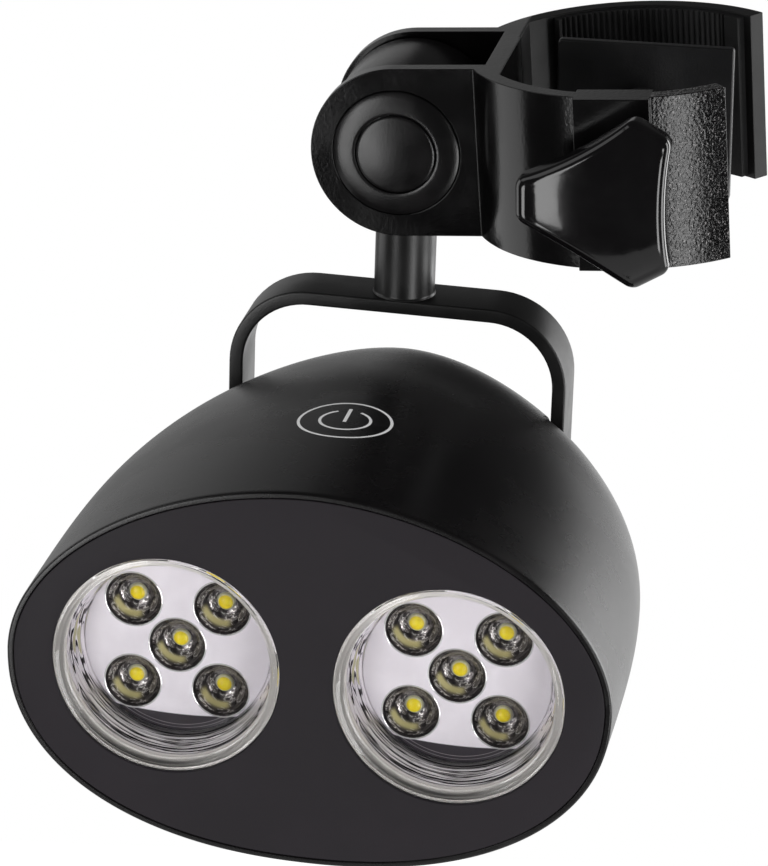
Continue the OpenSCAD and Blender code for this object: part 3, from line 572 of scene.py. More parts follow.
def makeSoft(name, look):
    # satin plastic: two close colours in soft patches over a shallow grain
    material, tree, shader = newMaterial(name, {"Roughness": look["rough"]})
    grain = grainOf(tree, look)
    feed(shader, {"Base Color": mixColour(grain["Patches"], look["dark"], look["light"]),
                  "Normal": bumpOf(grain["Height"], look)})
    return material, tree, shader


white = dict(cell=0.0014, fine=0.3, smear=140, bump=0.08, depth=0.00004)
printLook = dict(white, dark=grey(0.78), light=grey(0.86), rough=0.5)
plateLook = dict(
    white, dark=(0.80, 0.755, 0.81), light=(0.86, 0.815, 0.87), rough=0.22,
    shade=(0.035, 0.03, 0.037), line=(0.25, 0.23, 0.25), arc=0.006, foot=(-14.57, -14.33),
    lines=((16.55, 16.65, 0.06), (17.2, 17.28, 0.05)))


def makePlateWhite(look):
    # lilac white; where z - arc * x^2 is below the foot, painted shade darkens it, with thin bright
    # lines painted round it
    material, tree, shader = makeSoft("plateFinish", look)
    r, across, up = placeGroup(tree, spotGroup)[:3]
    x, z = times(across, r), times(up, r)
    low = mathNode("SUBTRACT", z, times(times(x, x), look["arc"]))
    lines = plus(*(bandNode(r, *line) for line in look["lines"]))
    foot = mixColour(lines, look["shade"], look["line"])
    above = fedBy(shader.inputs["Base Color"])
    feed(shader, {"Base Color": mixColour(fallNode(low, *look["foot"]), above, foot)})
    return material


bowlLook = dict(
    dark=(0.035, 0.03, 0.032), mid=(0.17, 0.152, 0.15), light=(0.95, 0.93, 0.9),
    smokeRamp=(0.38, 0.56), streaks=(0.555, 0.585, 0.008), paintedLedCrescent=(0.62, 0.56, 0.27),
    crescentBand=(3.6, 4.45, 0.3), crescentSide=(0.55, 0.85), crescentMetal=0.1, towards=(-0.5, -0.866),
    nearSide=(-0.5, 0.3), farShare=0.35, rim=(0.9, 0.89, 0.89), rimFrom=(5.34, 5.42),
    gap=(5, 5.34, 0.04), metal=0.55, rough=(0.08, 0.2), stretch=(0.9, 0.9, 0.85),
    noise=(1.7, 3, 0.55, 0.9), bump=0.4, depth=0.00014)


def makeBowl(look):
    # smoked mirror with painted bright streaks that fade on the far side, a painted pale yellow
    # reflection of the LED towards the lower left, a dark ring and a painted highlight on the lip
    material, tree, shader = newMaterial("bowlFinish", {})
    r, across, up = placeGroup(tree, spotGroup)[:3]
    swirl = noiseNode(stretched((across, up, r), look["stretch"]), *look["noise"])
    streaks = bandNode(swirl, *look["streaks"])
    side = plus(times(across, look["towards"][0]), times(up, look["towards"][1]))
    paintedLedCrescent = times(rampNode(side, *look["crescentSide"]), bandNode(r, *look["crescentBand"]))
    lit = times(streaks, rampNode(side, *look["nearSide"], look["farShare"], 1.0))
    colour = mixColour(rampNode(swirl, *look["smokeRamp"]), look["dark"], look["mid"])
    # painted light over the smoke: streak highlights, the LED's reflection, a dark ring and the
    # lip's highlight
    for mask, over in ((lit, "light"), (paintedLedCrescent, "paintedLedCrescent"), (bandNode(r, *look["gap"]), "dark"),
                       (rampNode(r, *look["rimFrom"]), "rim")):
        colour = mixColour(mask, colour, look[over])
    feed(shader, {
        "Base Color": colour,
        "Metallic": rampNode(paintedLedCrescent, 0.0, 1.0, look["metal"], look["crescentMetal"]),
        "Roughness": rampNode(streaks, 0.0, 1.0, *look["rough"]),
        "Normal": bumpOf(swirl, look)})
    return material


ledLook = dict(
    dark=(0.86, 0.66, 0.01), light=(0.92, 0.76, 0.03), rough=0.28, cell=0.0006, fine=0.4, smear=900,
    bump=0.1, depth=0.00005, edge=(0.9, 0.87, 0.6), paintedRingFrom=(1.28, 1.53))


def makeLed(look):
    # yellow phosphor with a pale ring painted round its edge: a painted reflection of the LED in
    # the bowl's floor
    material, tree, shader = makeSoft("ledFinish", look)
    core = fedBy(shader.inputs["Base Color"])
    # the pale edge ring is a painted reflection
    edge = rampNode(placeGroup(tree, spotGroup)["Radius"], *look["paintedRingFrom"])
    feed(shader, {"Base Color": mixColour(edge, core, look["edge"])})
    return material


finishes |= {"clampBody": makeClamp(looks["clamp"], clampZones), "lens": makeClear(clearLook),
             "cup": makeCup(cupLook), "plate": makePlateWhite(plateLook),
             "print": makeSoft("printFinish", printLook)[0], "led": makeLed(ledLook),
             "bowl": makeBowl(bowlLook)}

# camera at the photograph's place; pivotSeen is right, up and forward of the lens, in millimetres
cameraFit = dict(
    azimuth=12.41, elevation=21.52, roll=-3.64, focalPixels=4331.4, frameHeight=866,
    pivotSeen=(5.0876, 59.6378, 854.56), sensor=36, seesTo=20)


def addCamera(fit):
    az, el, ro = (math.radians(fit[k]) for k in ("azimuth", "elevation", "roll"))
    level = np.array([math.cos(az), math.sin(az), 0])
    forward = np.array([-math.sin(az) * math.cos(el), math.cos(az) * math.cos(el), -math.sin(el)])
    over = np.cross(level, forward)
    right, up = rotated(level, over, -ro)
    a, b, c = fit["pivotSeen"]
    eye = rowToRow([place["pivotX"], 0, 0] - a * right - b * up - c * forward)
    data = bpy.data.cameras.new("photoCamera")
    data.sensor_width = fit["sensor"]
    data.lens = fit["focalPixels"] / fit["frameHeight"] * fit["sensor"]
    data.clip_end = fit["seesTo"]
    camera = addObject("photoCamera", data)
    axes = Matrix(np.stack([right, up, -forward], 1).tolist()).to_4x4()
    camera.matrix_world = Matrix.Translation(eye.tolist()) @ axes
    bpy.context.scene.camera = camera


addCamera(cameraFit)
print("camera placed")

# lamp head
headShape = dict(
    halfWidth=57.3, halfHeight=37.9, full=110, length=104, fall=3.8, widthRoot=1.7, heightRoot=3.9,
    powerUp=1.9, powerDown=2.2, wall=2.4, rim=1.2, edge=0.45, innerEdge=0.2, bezel=3, gasket=0.8,
    mouth=12.8, around=256, rings=120, innerRings=40)


def oval(angle, a, b):
    # superellipse, pointed a little above and fuller below
    n = np.where(np.sin(angle) >= 0, headShape["powerUp"], headShape["powerDown"])
    c, s = np.cos(angle), np.sin(angle)
    return a * np.sign(c) * np.abs(c) ** (2 / n), b * np.sign(s) * np.abs(s) ** (2 / n)


def evenAngles(count, samples=20001):
    # angles that step evenly along the face's outline
    fine = np.linspace(0, math.tau, samples)
    x, z = oval(fine, headShape["halfWidth"], headShape["halfHeight"])
    length = np.r_[0, np.cumsum(np.hypot(np.diff(x), np.diff(z)))]
    return np.interp(np.linspace(0, length[-1], count, endpoint=False), length, fine)


def ovalRows(rows):
    # loops given by their inset from the face's outline and their depth behind the face
    inset, depth = np.asarray(rows, float).T[..., None]
    x, z = oval(faceAngles, headShape["halfWidth"] - inset, headShape["halfHeight"] - inset)
    return joined(x, depth + faceY, z)


def domeSize(depth, wall=0.0):
    # half width and half height fall from the face to the tip: roots of 1 - (depth / full)^fall
    h = headShape
    rest = 1 - (np.clip(depth, 0, None) / (h["full"] - wall)) ** h["fall"]
    return ((h["halfWidth"] - wall) * rest ** (1 / h["widthRoot"]),
            (h["halfHeight"] - wall) * rest ** (1 / h["heightRoot"]))


def domeRows(depths, wall=0.0):
    # loops of the dome's skin, one at each depth behind the face
    d, a = np.meshgrid(depths, faceAngles, indexing="ij")
    x, z = oval(a, *domeSize(d, wall))
    return joined(x, d + faceY, z)


def makeHousing():
    # inner wall, seat, rim with a rounded edge, outer dome and flat back, as one closed skin
    h = headShape
    seat, inner = h["bezel"] + h["gasket"], h["innerEdge"]
    turn = np.linspace(0, quarter, 5)
    return tubeOf(np.concatenate([
        domeRows(np.linspace(h["length"] - h["wall"], seat, h["innerRings"]), h["wall"]),
        ovalRows([(h["wall"], seat), (h["rim"], seat), (h["rim"], inner), (h["rim"] - inner, 0.0)]),
        ovalRows(h["edge"] * (1 - joined(np.sin(turn), np.cos(turn)))),
        domeRows(h["length"] * np.sin(np.linspace(0, quarter, h["rings"]))[1:])]))


hingeShape = dict(cheek=30.85, slot=7.2, tiltUp=10, reach=80, outwards=60)


def slotCutter(side):
    # the yoke leg's sweep: round below the hinge, leaning forward in front, open above and behind
    h = hingeShape
    tilt, far = math.radians(h["tiltUp"]), h["reach"]
    arc = circleOf(np.linspace(math.pi + tilt, 3 * quarter, 14), h["slot"])
    top = arc[0] + far * circleOf(quarter + tilt)
    loop = np.concatenate([arc, [[far, -h["slot"]], [far, far], top]])
    near = joined(side * h["cheek"], *loop.T)
    return tubeOf(np.stack([near, near + [side * h["outwards"], 0, 0]]))


faceAngles = evenAngles(headShape["around"])
mouthY = headShape["length"] - headShape["wall"] + faceY
mouth = turned(drumOf(headShape["mouth"], -2, 6, 96), alongY, (0, mouthY, 0))
housing = carved(buildMesh("lamp_housing", makeHousing()), [slotCutter(-1), slotCutter(1), mouth])
mount(housing, "head", "head_black", "head", "head_housing")
print("housing made:", len(housing.data.polygons), "faces")

# bezel, lenses and light plates; depths run backwards from the face
lampShape = dict(
    x=26.8, hole=21.8, chamfer=0.2, seat=23.1, lip=1.6, inset=1.25, edge=0.3, flange=23, plate=18,
    plateDepth=10.2, plateBack=14, plateEdge=0.1, ledDepth=13.3, pitch=8.54, bowl=5.65, around=160)
spots = lampShape["pitch"] * np.array([(0, 0), (-1, 1), (1, 1), (-1, -1), (1, -1)])


def inLamp(patches, side, x=0.0, z=0.0):
    # turns patches drawn along +Z to run backwards from the face, at a place in one lamp
    return turned(patches, alongY, (side * lampShape["x"] + x, faceY, z))


def atSpots(patches, side):
    # the same patches at each of a lamp's five places
    return [inLamp(patches, side, x, z) for x, z in spots]


def lampPiece(name, profile, side, closed=True):
    return buildMesh(name, inLamp(spun(profile, lampShape["around"], closed), side), sharp=30.0)


def makeBezel():
    # oval plate with a rounded edge; each hole is a small chamfer, the opening and a wider seat
    s, back = lampShape, headShape["bezel"]
    inset, edge, hole, cut = s["inset"], s["edge"], s["hole"], s["chamfer"]
    rows = ovalRows([(inset, back), (inset, edge), (inset + 0.3 * edge, 0.3 * edge),
                     (inset + edge, 0)])
    opening = spun([(0, -1), (hole + cut + 1, -1), (hole + cut, 0), (hole, cut), (hole, s["lip"]),
                    (s["seat"], s["lip"]), (s["seat"], back + 2), (0, back + 2)], s["around"])
    return carved(buildMesh("bezel_plate", tubeOf(rows)),
                  [inLamp(opening, side) for side in (-1, 1)])


# each pair is a distance inwards from the lamp opening's edge and a depth
lensShape = dict(
    rim=[(0.08, 0.5), (0.35, 0.12), (0.65, 0.02), (1.1, 0.3), (1.35, 0.42), (1.75, 1.15),
         (2, 1.45)],
    back=[(1.85, 2.65), (1.8, 2.78)], front=[(0.08, 1.65)], window=(1.5, 2.6), flange=(2.78, 1.68))


def lensProfile():
    # bevelled outer rim, sunk window and the flange that sits behind the bezel's lip
    s = lensShape
    rim, back, front = ([(lampShape["hole"] - inset, depth) for inset, depth in s[k]]
                        for k in ("rim", "back", "front"))
    flange = [(lampShape["flange"], depth) for depth in s["flange"]]
    return rim + [(0, depth) for depth in s["window"]] + back + flange + front


cupShape = dict(
    mouth=20, front=2.95, flange=1, foot=1.05, steps=90, rings=7.5, ringHeight=0.05, ringsFrom=0.05,
    ringsTo=0.3)


def cupProfile():
    # cone from the lens to the plate with shallow drawn rings, then a flange under the lens's rim
    s, plate, end = cupShape, lampShape["plate"], lampShape["plateDepth"]
    t = np.linspace(0, 1, s["steps"])
    fade = np.clip(t / s["ringsFrom"], 0, 1) * np.clip((1 - t) / s["ringsTo"], 0, 1)
    radius = (s["mouth"] + (plate - s["mouth"]) * t
              + s["ringHeight"] * np.sin(t * math.tau * s["rings"]) * fade)
    back = s["front"] + s["flange"]
    outer = [(plate + s["foot"], end), (s["mouth"] + 1, back), (lampShape["flange"], back),
             (lampShape["flange"], s["front"])]
    return np.concatenate([joined(radius, s["front"] + (end - s["front"]) * t), outer])


def makePlate(side):
    # the white plate: a disc with five round holes, its front edge just broken
    s = lampShape
    front, back, edge = s["plateDepth"], s["plateBack"], s["plateEdge"]
    disc = [(0, front), (s["plate"] - edge, front), (s["plate"], front + edge),
            (s["plate"], back), (0, back)]
    return carved(lampPiece("light_plate", disc, side, False),
                  atSpots(drumOf(s["bowl"], front - 2, back + 1), side))


# lip pairs are a distance inwards from the bowl's edge and a depth behind the plate's face
bowlShape = dict(
    floor=2.1, wallInset=0.42, wallFrom=0.12, pastLed=0.35, steps=22,
    lip=[(0.02, 0.3), (0.02, -0.08), (0.12, -0.14), (0.26, -0.06), (0.36, 0.06)],
    back=[(1.9, 0.02), (1.9, 0.3), (2.3, 0.3)], outer=(0.3, 1.6))


def bowlProfile():
    # lip, then a bowl whose radius falls as the square root of the way down, and a flat floor
    s, edge, face = bowlShape, lampShape["bowl"], lampShape["plateDepth"]
    top, floor = face + s["wallFrom"], lampShape["ledDepth"] + s["pastLed"]
    t = np.linspace(0, 1, s["steps"])
    radius = s["floor"] + (edge - s["wallInset"] - s["floor"]) * np.sqrt(1 - t)
    lip = [(edge - inset, face + depth) for inset, depth in s["lip"]]
    back = [(r, floor + depth) for r, depth in s["back"]]
    outer = (edge - s["outer"][0], face + s["outer"][1])
    return np.concatenate([lip, joined(radius, top + (floor - top) * t), back, [outer]])


# phosphor dome: radius, and height from the LED's own depth
ledShape = [(0, -0.55), (0.6, -0.5), (1.15, -0.3), (1.5, 0), (1.68, 0.4), (1.7, 0.75), (0, 0.75)]


def fivePiece(name, patches, side, sharp):
    return buildMesh(name, sum(atSpots(patches, side), []), sharp=sharp)


def markSpots(piece, centres):
    # each vertex keeps its place from the nearest centre, in millimetres and in the head's frame
    mesh = piece.data
    p = np.empty(len(mesh.vertices) * 3)
    mesh.vertices.foreach_get("co", p)
    x, y, z = (p.reshape(-1, 3) / millimetre - [place["pivotX"], 0, 0]).T
    across, up = rotated(x, z, lean)
    up += hingeBelow
    gap = (across[:, None] - centres[:, 0]) ** 2 + (up[:, None] - centres[:, 1]) ** 2
    nearX, nearZ = centres[gap.argmin(1)].T
    spot = joined(across - nearX, y - faceY, up - nearZ)
    mesh.attributes.new("spot", "FLOAT_VECTOR", "POINT").data.foreach_set("vector", spot.ravel())
    return piece


mount(makeBezel(), "head", "bezel_black", "bezel", "front_bezel")
bowl = spun(bowlProfile(), 72, True)
dome = spun(np.array(ledShape) + [0, lampShape["ledDepth"]], 40)
for side, word in ((-1, "left"), (1, "right")):
    axis = np.array([(side * lampShape["x"], 0.0)])
    mount(lampPiece("lens_" + word + "_clear", lensProfile(), side), "head", "clear", "lens",
          "lens_" + word)
    cup = markSpots(lampPiece("cup_" + word, cupProfile(), side), axis)
    plate = markSpots(makePlate(side), axis)
    plate.name = "light_plate_" + word
    bowls = markSpots(fivePiece("light_bowls_" + word, bowl, side, 38), axis + spots)
    domes = markSpots(fivePiece("led_domes_" + word, dome, side, 50), axis + spots)
    mount(cup, "head", "bright", "cup", "reflector_" + word)
    mount(plate, "head", "optic_white", "plate", "optic_" + word)
    mount(bowls, "head", "bright", "bowl")
    mount(domes, "head", "led_yellow", "led", "leds_" + word)
print("lamps made")

# power sign printed on the dome's roof
signShape = dict(
    x=-1.1, y=-52.94, outer=8.9, inner=4.85, line=0.58, bar=0.7, gap=27, barFrom=-1, barTo=5.85,
    lift=0.03, steps=(144, 110, 12))


def onRoof(x, y, lift):
    # height of the dome's upper skin over a point: b * (1 - |x / a|^n)^(1 / n) for the oval there
    a, b = domeSize(y - faceY)
    n = headShape["powerUp"]
    z = b * (1 - np.clip(np.abs(x) / a, 0, 1) ** n) ** (1 / n)
    return joined(x, y, z + lift)


def outwards(step):
    # unit normals, to the left of each step along a path
    return joined(-step[:, 1], step[:, 0]) / np.linalg.norm(step, axis=1)[:, None]


def ribbon(path, width, closed):
    # a strip of that width along a path in the plane, three points across, laid on the roof
    step = (np.roll(path, -1, 0) - np.roll(path, 1, 0)) if closed else np.gradient(path, axis=0)
    rows = np.stack([path + outwards(step) * w * width for w in (-0.5, 0.0, 0.5)])
    return sheetOf(onRoof(rows[..., 0] + signShape["x"], rows[..., 1] + signShape["y"],
                          signShape["lift"]), False, closed)


def makeSign():
    # ring, then an arc open at the back round a short bar
    s = signShape
    inRing, inArc, inBar = s["steps"]
    ring = circleOf(roundAngles(inRing), s["outer"])
    arc = circleOf(np.radians(np.linspace(90 + s["gap"], 450 - s["gap"], inArc)), s["inner"])
    bar = joined(0.0, np.linspace(s["barFrom"], s["barTo"], inBar))
    return buildMesh("power_sign", [ribbon(ring, s["line"], True), ribbon(arc, s["line"], False),
                                    ribbon(bar, s["bar"], False)], merge=1e-7)


mount(makeSign(), "head", "optic_white", "print")
print("sign made")

# yoke, post and knuckle
yokeShape = dict(
    span=68.7, thick=2.8, width=12, corner=16, drop=44.7, edge=0.45, steps=(14, 26, 18, 30),
    tipThick=0.55, tipNarrow=0.02)


def makeYoke():
    # a rounded strap carried along a U path; it narrows to a half circle at both hinge ends
    s = yokeShape
    inTip, inLeg, inBend, inBar = s["steps"]
    w, t = s["width"] / 2, s["thick"] / 2
    mid, r = s["span"] / 2 - t, s["corner"] - t
    leg = np.r_[-s["drop"] - w * np.sin(np.linspace(quarter, 0, inTip))[:-1],
                np.linspace(-s["drop"], -s["corner"], inLeg)]
    turn = np.linspace(0, quarter, inBend)[1:]
    bend = joined(-mid + r - r * np.cos(turn), -s["corner"] + r * np.sin(turn))
    half = np.concatenate([joined(-mid, leg), bend])
    bar = joined(np.linspace(-mid + r, mid - r, inBar)[1:-1], -s["corner"] + r)
    path = np.concatenate([half, bar, (half * [-1, 1])[::-1]])
    past = np.clip((-s["drop"] - path[:, 1]) / w, 0, 1)
    narrow = np.sqrt(np.clip(1 - past ** 2, s["tipNarrow"] ** 2, 1))[:, None]
    section = rounded([(-w, -t), (w, -t), (w, t), (-w, t)], s["edge"])
    out = section[None, :, 1] * np.minimum(1, s["tipThick"] + narrow)
    alongPath = path[:, None] + outwards(np.gradient(path, axis=0))[:, None] * out[..., None]
    pts = joined(alongPath[..., 0], section[None, :, 0] * narrow,
                 alongPath[..., 1] - place["postLength"])
    return buildMesh("yoke_strap", tubeOf(pts), hangToRow)


postShape = dict(
    radius=6.1, foot=0.02, fillet=(0.35, 0.45), flange=8.2, flangeZ=(-9.1, -7.2), edge=0.25)


def makePost():
    # straight pin with a small fillet where it meets the strap, and its flange inside the knuckle
    s, end = postShape, place["postLength"]
    r, (wide, tall), (low, high) = s["radius"], s["fillet"], s["flangeZ"]
    profile = rounded([(0, s["foot"] - end), (r + wide, s["foot"] - end), (r, tall - end), (r, low),
                       (s["flange"], low), (s["flange"], high), (0, high)], s["edge"], 3, False)
    return buildMesh("swivel_pin", spun(profile, 96), hangToRow)


knuckleShape = dict(
    half=10.58, radius=16, edge=0.6, pivot=4.05, boreEdge=0.1,
    bore=[(0, -20), (9.2, -20), (8.35, -15), (8.35, -6.6), (0, -6.6)])


def makeKnuckle():
    # barrel across the ears with broken edges, bored for the post from below and for the pivot
    s = knuckleShape
    half, r = s["half"], s["radius"]
    profile = rounded([(0, -half), (r, -half), (r, half), (0, half)], s["edge"], 5, False)
    barrel = buildMesh("knuckle_barrel", turned(spun(profile, 160), alongY), hangToRow)
    bore = spun(rounded(s["bore"], s["boreEdge"], 2, False), 96)
    return carved(barrel, [bore, turned(drumOf(s["pivot"], -12, 12), alongY)], hangToRow)


mount(makeYoke(), "yoke", "yoke_black", "enamel", "yoke")
mount(makePost(), "yoke", "post_black", "enamel", "swivel_post")
mount(makeKnuckle(), "knuckle", "knuckle_black", "disc", "knuckle")
print("yoke, post and knuckle made")

# clamp; profiles are radius and height from the disc's seat or the cap's foot
pivotShape = dict(
    seat=12.8, capFoot=1.8, cap=7.75, crown=1.3, crownFall=0.6, crownTo=7.2,
    disc=[(4.05, 0), (12.5, 0), (12.5, 1.45), (12.38, 1.66), (12.05, 1.82), (11.2, 2.02),
          (9.9, 2.22), (8.7, 2.33), (8.3, 2.34), (8.08, 2.26), (7.98, 2.08), (7.95, 0.75),
          (4.05, 0.75)],
    capRim=[(0, 0), (7.75, 0), (7.75, 0.45), (7.66, 0.62), (7.45, 0.74)], around=144)


def onEar(name, profile, height, side, closed):
    # carries a profile round the pivot, outwards from the front or the rear ear
    patches = spun(np.asarray(profile) + [0, height], pivotShape["around"], closed)
    return buildMesh(name, turned(patches, alongY if side > 0 else towardsFront), pivotToRow)


def makeDisc(name, side):
    # shallow domed washer with a round well for the cap
    return onEar(name, pivotShape["disc"], pivotShape["seat"], side, True)


def makeCap(name, side):
    # low domed cap with a rounded rim; its crown falls by the square of the radius
    s = pivotShape
    r = np.linspace(0, s["crownTo"], 14)
    crown = joined(r, s["crown"] - s["crownFall"] * (r / s["cap"]) ** 2)[::-1]
    return onEar(name, np.concatenate([s["capRim"], crown]), s["seat"] + s["capFoot"], side, False)


knobShape = dict(
    back=40.3, radius=17.1, waist=11.2, lobe=10, corner=2.6, edge=5.5, crown=1.2, turn=-2.7, hub=7,
    hubLength=2.7, hubEdge=0.3, round=1.9, pillow=1.5, pillowPower=5, backRound=0.6, bore=3.1,
    steps=(12, 42))


def knobOutline():
    # three blunt lobes: corner arcs, and hollow arcs that touch them
    s = knobShape
    corner, waist = s["corner"], s["waist"]
    inCorner, inHollow = s["steps"]
    u = np.array([s["radius"] - corner, s["lobe"] / 2 - corner])  # a corner's middle
    v = circleOf(math.pi / 3)  # towards the hollow between two lobes
    hollow = corner ** 2 - waist ** 2 + 2 * waist * (u @ v) - u @ u
    hollow /= 2 * (waist - u @ v - corner)  # the hollow arc's radius
    c = (waist + hollow) * v
    turn = math.atan2(c[1] - u[1], c[0] - u[0])
    high = u + circleOf(np.linspace(0, turn, inCorner), corner)
    a = np.linspace(math.pi + turn, math.pi + math.tau / 3 - turn, inHollow)[1:-1]
    lobe = np.concatenate([high[::-1] * [1, -1], high, c + circleOf(a, hollow)])
    x, y = rotated(*lobe.T, roundAngles(3)[:, None])
    return joined(x.ravel(), y.ravel())


def makeKnob():
    # rounded back edge, side wall, rounded front edge, then rings that shrink over a low dome
    s = knobShape
    loop = knobOutline()
    inwards = outwards(np.roll(loop, -1, 0) - np.roll(loop, 1, 0))
    ball = (s["radius"] ** 2 + s["crown"] ** 2) / (2 * s["crown"])

    def crown(p):
        # height = edge + crown - ball + sqrt(ball^2 - r^2) - pillow * (r / radius)^power
        r2 = (p ** 2).sum(-1)
        fall = s["pillow"] * (r2 / s["radius"] ** 2) ** (s["pillowPower"] / 2)
        return s["edge"] + s["crown"] - ball + np.sqrt(ball ** 2 - r2) - fall

    def ring(flat, height):
        return joined(*flat.T, height)

    back, front = s["backRound"], s["round"]
    rim = loop + inwards * front
    rows = [ring(loop + inwards * back * (1 - math.sin(t)), back * (1 - math.cos(t)))
            for t in np.linspace(0, quarter, 5)]
    rows += [ring(loop + inwards * front * (1 - math.cos(t)),
                  crown(rim) - front * (1 - math.sin(t))) for t in np.linspace(0, quarter, 11)]
    rows += [ring(rim * t, crown(rim * t)) for t in np.linspace(1, 0, 40)[1:]]
    x, y, z = np.moveaxis(np.array(rows), -1, 0)
    across, up = rotated(x, y, math.radians(180 + s["turn"]))
    pts = joined(across, -(z + s["back"]), up)
    bore, out, top = s["bore"], s["hub"], s["hubLength"]
    boss = rounded([(bore, -0.5), (out, -0.5), (out, top), (bore, top)], s["hubEdge"], 3)
    hub = turned(spun(boss, 64, True), alongY, (0, -s["back"], 0))
    return buildMesh("thumb_grip", [sheetOf(pts, False, True), fanOf(pts[0])] + hub, rowToRow,
                     sharp=30)


threadShape = dict(
    pitch=1, radius=3, depth=0.55, intoKnob=0.3, tip=6.35, neck=(3.5, 4.5), neckRadius=2.25,
    around=36, perPitch=10, slope=1.25, flat=0.1)


def makeScrew():
    # shaft whose radius rises and falls once in each pitch along a helix, with a thin neck
    s = threadShape
    start, tip = -knobShape["back"] - s["intoKnob"], s["tip"]
    z = np.linspace(start, tip, int((tip - start) / s["pitch"] * s["perPitch"]))
    zz, aa = np.meshgrid(z, roundAngles(s["around"]), indexing="ij")
    wave = np.abs(((zz / s["pitch"] - aa / math.tau) % 1) * 2 - 1)
    radius = s["radius"] - s["depth"] * np.clip(wave * s["slope"] - s["flat"], 0, 1)
    radius = np.where((zz > s["neck"][0]) & (zz < s["neck"][1]), s["neckRadius"], radius)
    pts = joined(radius * np.cos(aa), zz, radius * np.sin(aa))
    return buildMesh("clamp_thread", tubeOf(pts), rowToRow, 1e-7, 60)


mount(softened("clamp_body", 0.25), "clamp", "clamp_black", "clampBody", "clamp_body")
mount(softened("jaw_pad", 0.12, 2, 20), "clamp", "rubber", "rubber", "jaw_pad")
for side, word in ((-1, "front"), (1, "rear")):
    mount(makeDisc("ear_disc_" + word, side), "clamp", "disc_black", "disc", "pivot_disc_" + word)
    mount(makeCap("ear_cap_" + word, side), "clamp", "disc_black", "disc", "pivot_cap_" + word)
mount(softened("pressure_plate", 0.35), "plate", "plate_black", "clampSmooth", "pressure_plate")
mount(makeKnob(), "screw", "knob_black", "knob", "thumb_knob")
mount(makeScrew(), "screw", "steel", "steel", "clamp_screw")
print("clamp made")

# hinge screws and battery cap; the head profile is radius and height from the cheek's face
screwShape = dict(
    face=34.4, head=[(0, 0), (4.2, 0), (4.2, 1), (3.2, 1.95), (0, 2.2)], edge=0.35, shank=2,
    shankFrom=-10, shankTo=0.5, cross=(0.75, 3.6), crossFrom=1.05, crossTo=3)


def makeHingeScrew(side, word):
    # low domed head with a cross recess, and its shank
    s = screwShape
    face, how = s["face"], alongX if side > 0 else backX
    head = rounded(np.array(s["head"]) + [0, face], s["edge"], 4, False)
    deep = [side * (face + s[k]) for k in ("crossFrom", "crossTo")]
    a, b = (np.array([-0.5, 0.5]) * size for size in s["cross"])
    screw = carved(buildMesh("hinge_screw_" + word, turned(spun(head, 72), how)),
                   [blockOf(deep, a, b), blockOf(deep, b, a)])
    shank = drumOf(s["shank"], face + s["shankFrom"], face + s["shankTo"], 32)
    return screw, buildMesh("hinge_pin_" + word, turned(shank, how))


capShape = dict(
    radius=17, at=104.05, thick=2.2, flutes=56, depth=0.32, neck=(12.7, -3.3), foot=0.02,
    rimFrom=1.5, rimBevel=0.9, well=(13.6, 13.2), wellDepth=0.35, fluteFrom=15.2, fluteOver=1.4,
    slot=(10.2, 1), slotDepth=1.15, edge=0.25)


def makeBatteryCap():
    # round lid whose rim is fluted: the radius dips evenly round it; a coin slot crosses its face
    s = capShape
    (neck, low), (lip, well), top = s["neck"], s["well"], s["thick"]
    profile = rounded([(0, low), (neck, low), (neck, s["foot"]), (s["radius"], s["foot"]),
                       (s["radius"], s["rimFrom"]), (s["radius"] - s["rimBevel"], top), (lip, top),
                       (well, top - s["wellDepth"]), (0, top - s["wellDepth"])],
                      s["edge"], 3, False)
    a = roundAngles(s["flutes"] * 8)[:, None]
    r, h = profile.T
    rim = np.clip((r - s["fluteFrom"]) / s["fluteOver"], 0, 1) * (h > 0)
    r = r - s["depth"] * np.clip(np.cos(a * s["flutes"]), 0, 1) * rim
    skin = sheetOf(joined(r * np.cos(a), r * np.sin(a), h), True)
    lid = buildMesh("battery_lid", turned([skin], alongY, (0, s["at"] + faceY, 0)), sharp=35)
    floor = s["at"] + top - s["slotDepth"] + faceY
    half, wide = s["slot"]
    return carved(lid, [blockOf((-half, half), (floor, floor + 4), (-wide, wide))], sharp=35)


for side, word in ((-1, "left"), (1, "right")):
    screw, pin = makeHingeScrew(side, word)
    mount(screw, "head", "steel", "steel", "hinge_screws")
    mount(pin, "head", "steel", "steel")
mount(makeBatteryCap(), "head", "head_black", "head", "battery_cap")
print("hinge screws and battery cap made")

# floor and world; each range is where a direction's part starts and ends a smooth step
stageLook = dict(
    floorZ=-1, size=1.6, floor=0.86, floorRough=0.9, floorGloss=0.1, floorGlow=0.6, world=0.55,
    room=0.045, behindY=(0.2, 0.75), leftX=(-0.2, -0.06), leftZ=(0.22, 0.5), leftShare=0.42,
    rightX=(0.06, 0.34), rightZ=(0, 0.25), lowX=(-0.4, -0.1), lowZ=(-0.25, -0.05), lowShare=0.25)


def addStage(look):
    # a pale floor that the camera sees a little brighter
    s, z = look["size"], look["floorZ"]
    mesh = bpy.data.meshes.new("floor")
    mesh.from_pydata([(-s, -s, z), (s, -s, z), (s, s, z), (-s, s, z)], [], [(0, 1, 2, 3)])
    floor = addObject("floor", mesh)
    material, tree, shader = newMaterial("paleFloor", {
        "Base Color": grey(look["floor"]), "Roughness": look["floorRough"],
        "Specular IOR Level": look["floorGloss"], "Emission Color": grey(1)})
    seen = addNode(tree, "LightPath").outputs["Is Camera Ray"]
    feed(shader, {"Emission Strength": times(seen, look["floorGlow"])})
    mesh.materials.append(material)


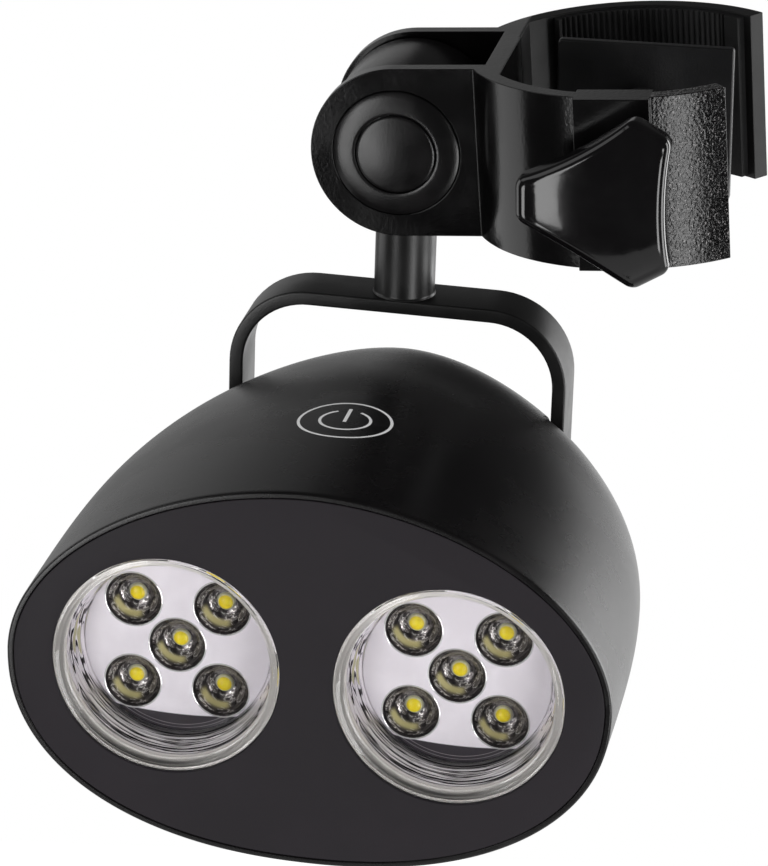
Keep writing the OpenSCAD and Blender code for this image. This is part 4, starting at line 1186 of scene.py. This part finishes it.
def addWorld(look):
    # white for the camera and glass; gloss sees it low behind the object and a dim room elsewhere
    world = bpy.data.worlds.new("paleStudio")
    bpy.context.scene.world = world
    world.use_nodes = True
    tree = world.node_tree
    rays = addNode(tree, "LightPath").outputs
    x, y, z = splitPoint(addNode(tree, "TexCoord").outputs["Generated"])
    left = times(rampNode(x, *look["leftX"], look["leftShare"], 0.0),
                 fallNode(z, *look["leftZ"]))
    right = times(rampNode(x, *look["rightX"]), fallNode(z, *look["rightZ"]))
    low = times(fallNode(z, *look["lowZ"]),
                rampNode(x, *look["lowX"], look["lowShare"], 1.0))
    share = mathNode("MAXIMUM", mathNode("MAXIMUM", left, right), low)
    behind = times(rampNode(y, *look["behindY"]), share)
    gloss = rampNode(behind, 0.0, 1.0, look["room"], 1.0)
    seen = mathNode("MAXIMUM", rays["Is Camera Ray"], rays["Is Transmission Ray"])
    plainLight = rampNode(seen, 0.0, 1.0, look["world"], 1.0)
    change = times(rays["Is Glossy Ray"], mathNode("SUBTRACT", gloss, plainLight))
    feed(tree.nodes["Background"], {"Color": grey(1), "Strength": plus(plainLight, change)})


# azimuth from the front towards +X and elevation in degrees, distance and size in metres, radiance
lamps = dict(
    frontLeft=dict(aim=(-29, -3), distance=0.9, size=(0.28, 0.62), radiance=4.5),
    frontRight=dict(aim=(38, -14), distance=0.9, size=(0.28, 0.6), radiance=5.5),
    right=dict(aim=(95, -4), distance=0.9, size=(0.35, 0.9), radiance=4.5),
    backRight=dict(aim=(138, -6), distance=0.9, size=(0.3, 0.7), radiance=3.5),
    left=dict(aim=(-95, 0), distance=0.9, size=(0.6, 0.9), radiance=1.2),
    upperLeft=dict(aim=(-72, 44), distance=1, size=(0.6, 0.5), radiance=0.9))
lampTarget = (-0.02, -0.03, -0.04)


def addLamp(name, look):
    # an area lamp's radiance is its power over pi times its area
    data = bpy.data.lights.new(name, "AREA")
    data.shape = "RECTANGLE"
    data.size, data.size_y = look["size"]
    data.energy = look["radiance"] * math.pi * data.size * data.size_y
    az, el = (math.radians(a) for a in look["aim"])
    away = Vector((math.sin(az) * math.cos(el), -math.cos(az) * math.cos(el), math.sin(el)))
    at = Vector(lampTarget) + away * look["distance"]
    addObject(name, data).matrix_world = (
        Matrix.Translation(at) @ (-away).to_track_quat("-Z", "Y").to_matrix().to_4x4())


addStage(stageLook)
addWorld(stageLook)
for name, look in lamps.items():
    addLamp(name, look)
bpy.context.scene.view_settings.view_transform = "Standard"
print("floor, world and lamps made")

# the material slots that take each finish; every CAD node is dressed by its slot
slotsOf = dict(
    clamp="clamp_black", clampSmooth="plate_black", rubber="rubber", knob="knob_black",
    steel="steel spring_steel bright", disc="disc_black", greyPlastic="slip_disc clear",
    enamel="knuckle_black post_black yoke_black", head="head_black", bezel="bezel_black",
    boardWhite="optic_white board_white", boardGreen="board_green", wire="wire_red",
    brass="led_yellow brass copper", darkPlastic="chip_black carrier_black", cell="cell_skin")
finishOf = {slot: finish for finish, slots in slotsOf.items() for slot in slots.split()}
for part in frame["record"]["subparts"]:
    dress(nodes[part["node"]].data, finishOf[part["material_slot"]])
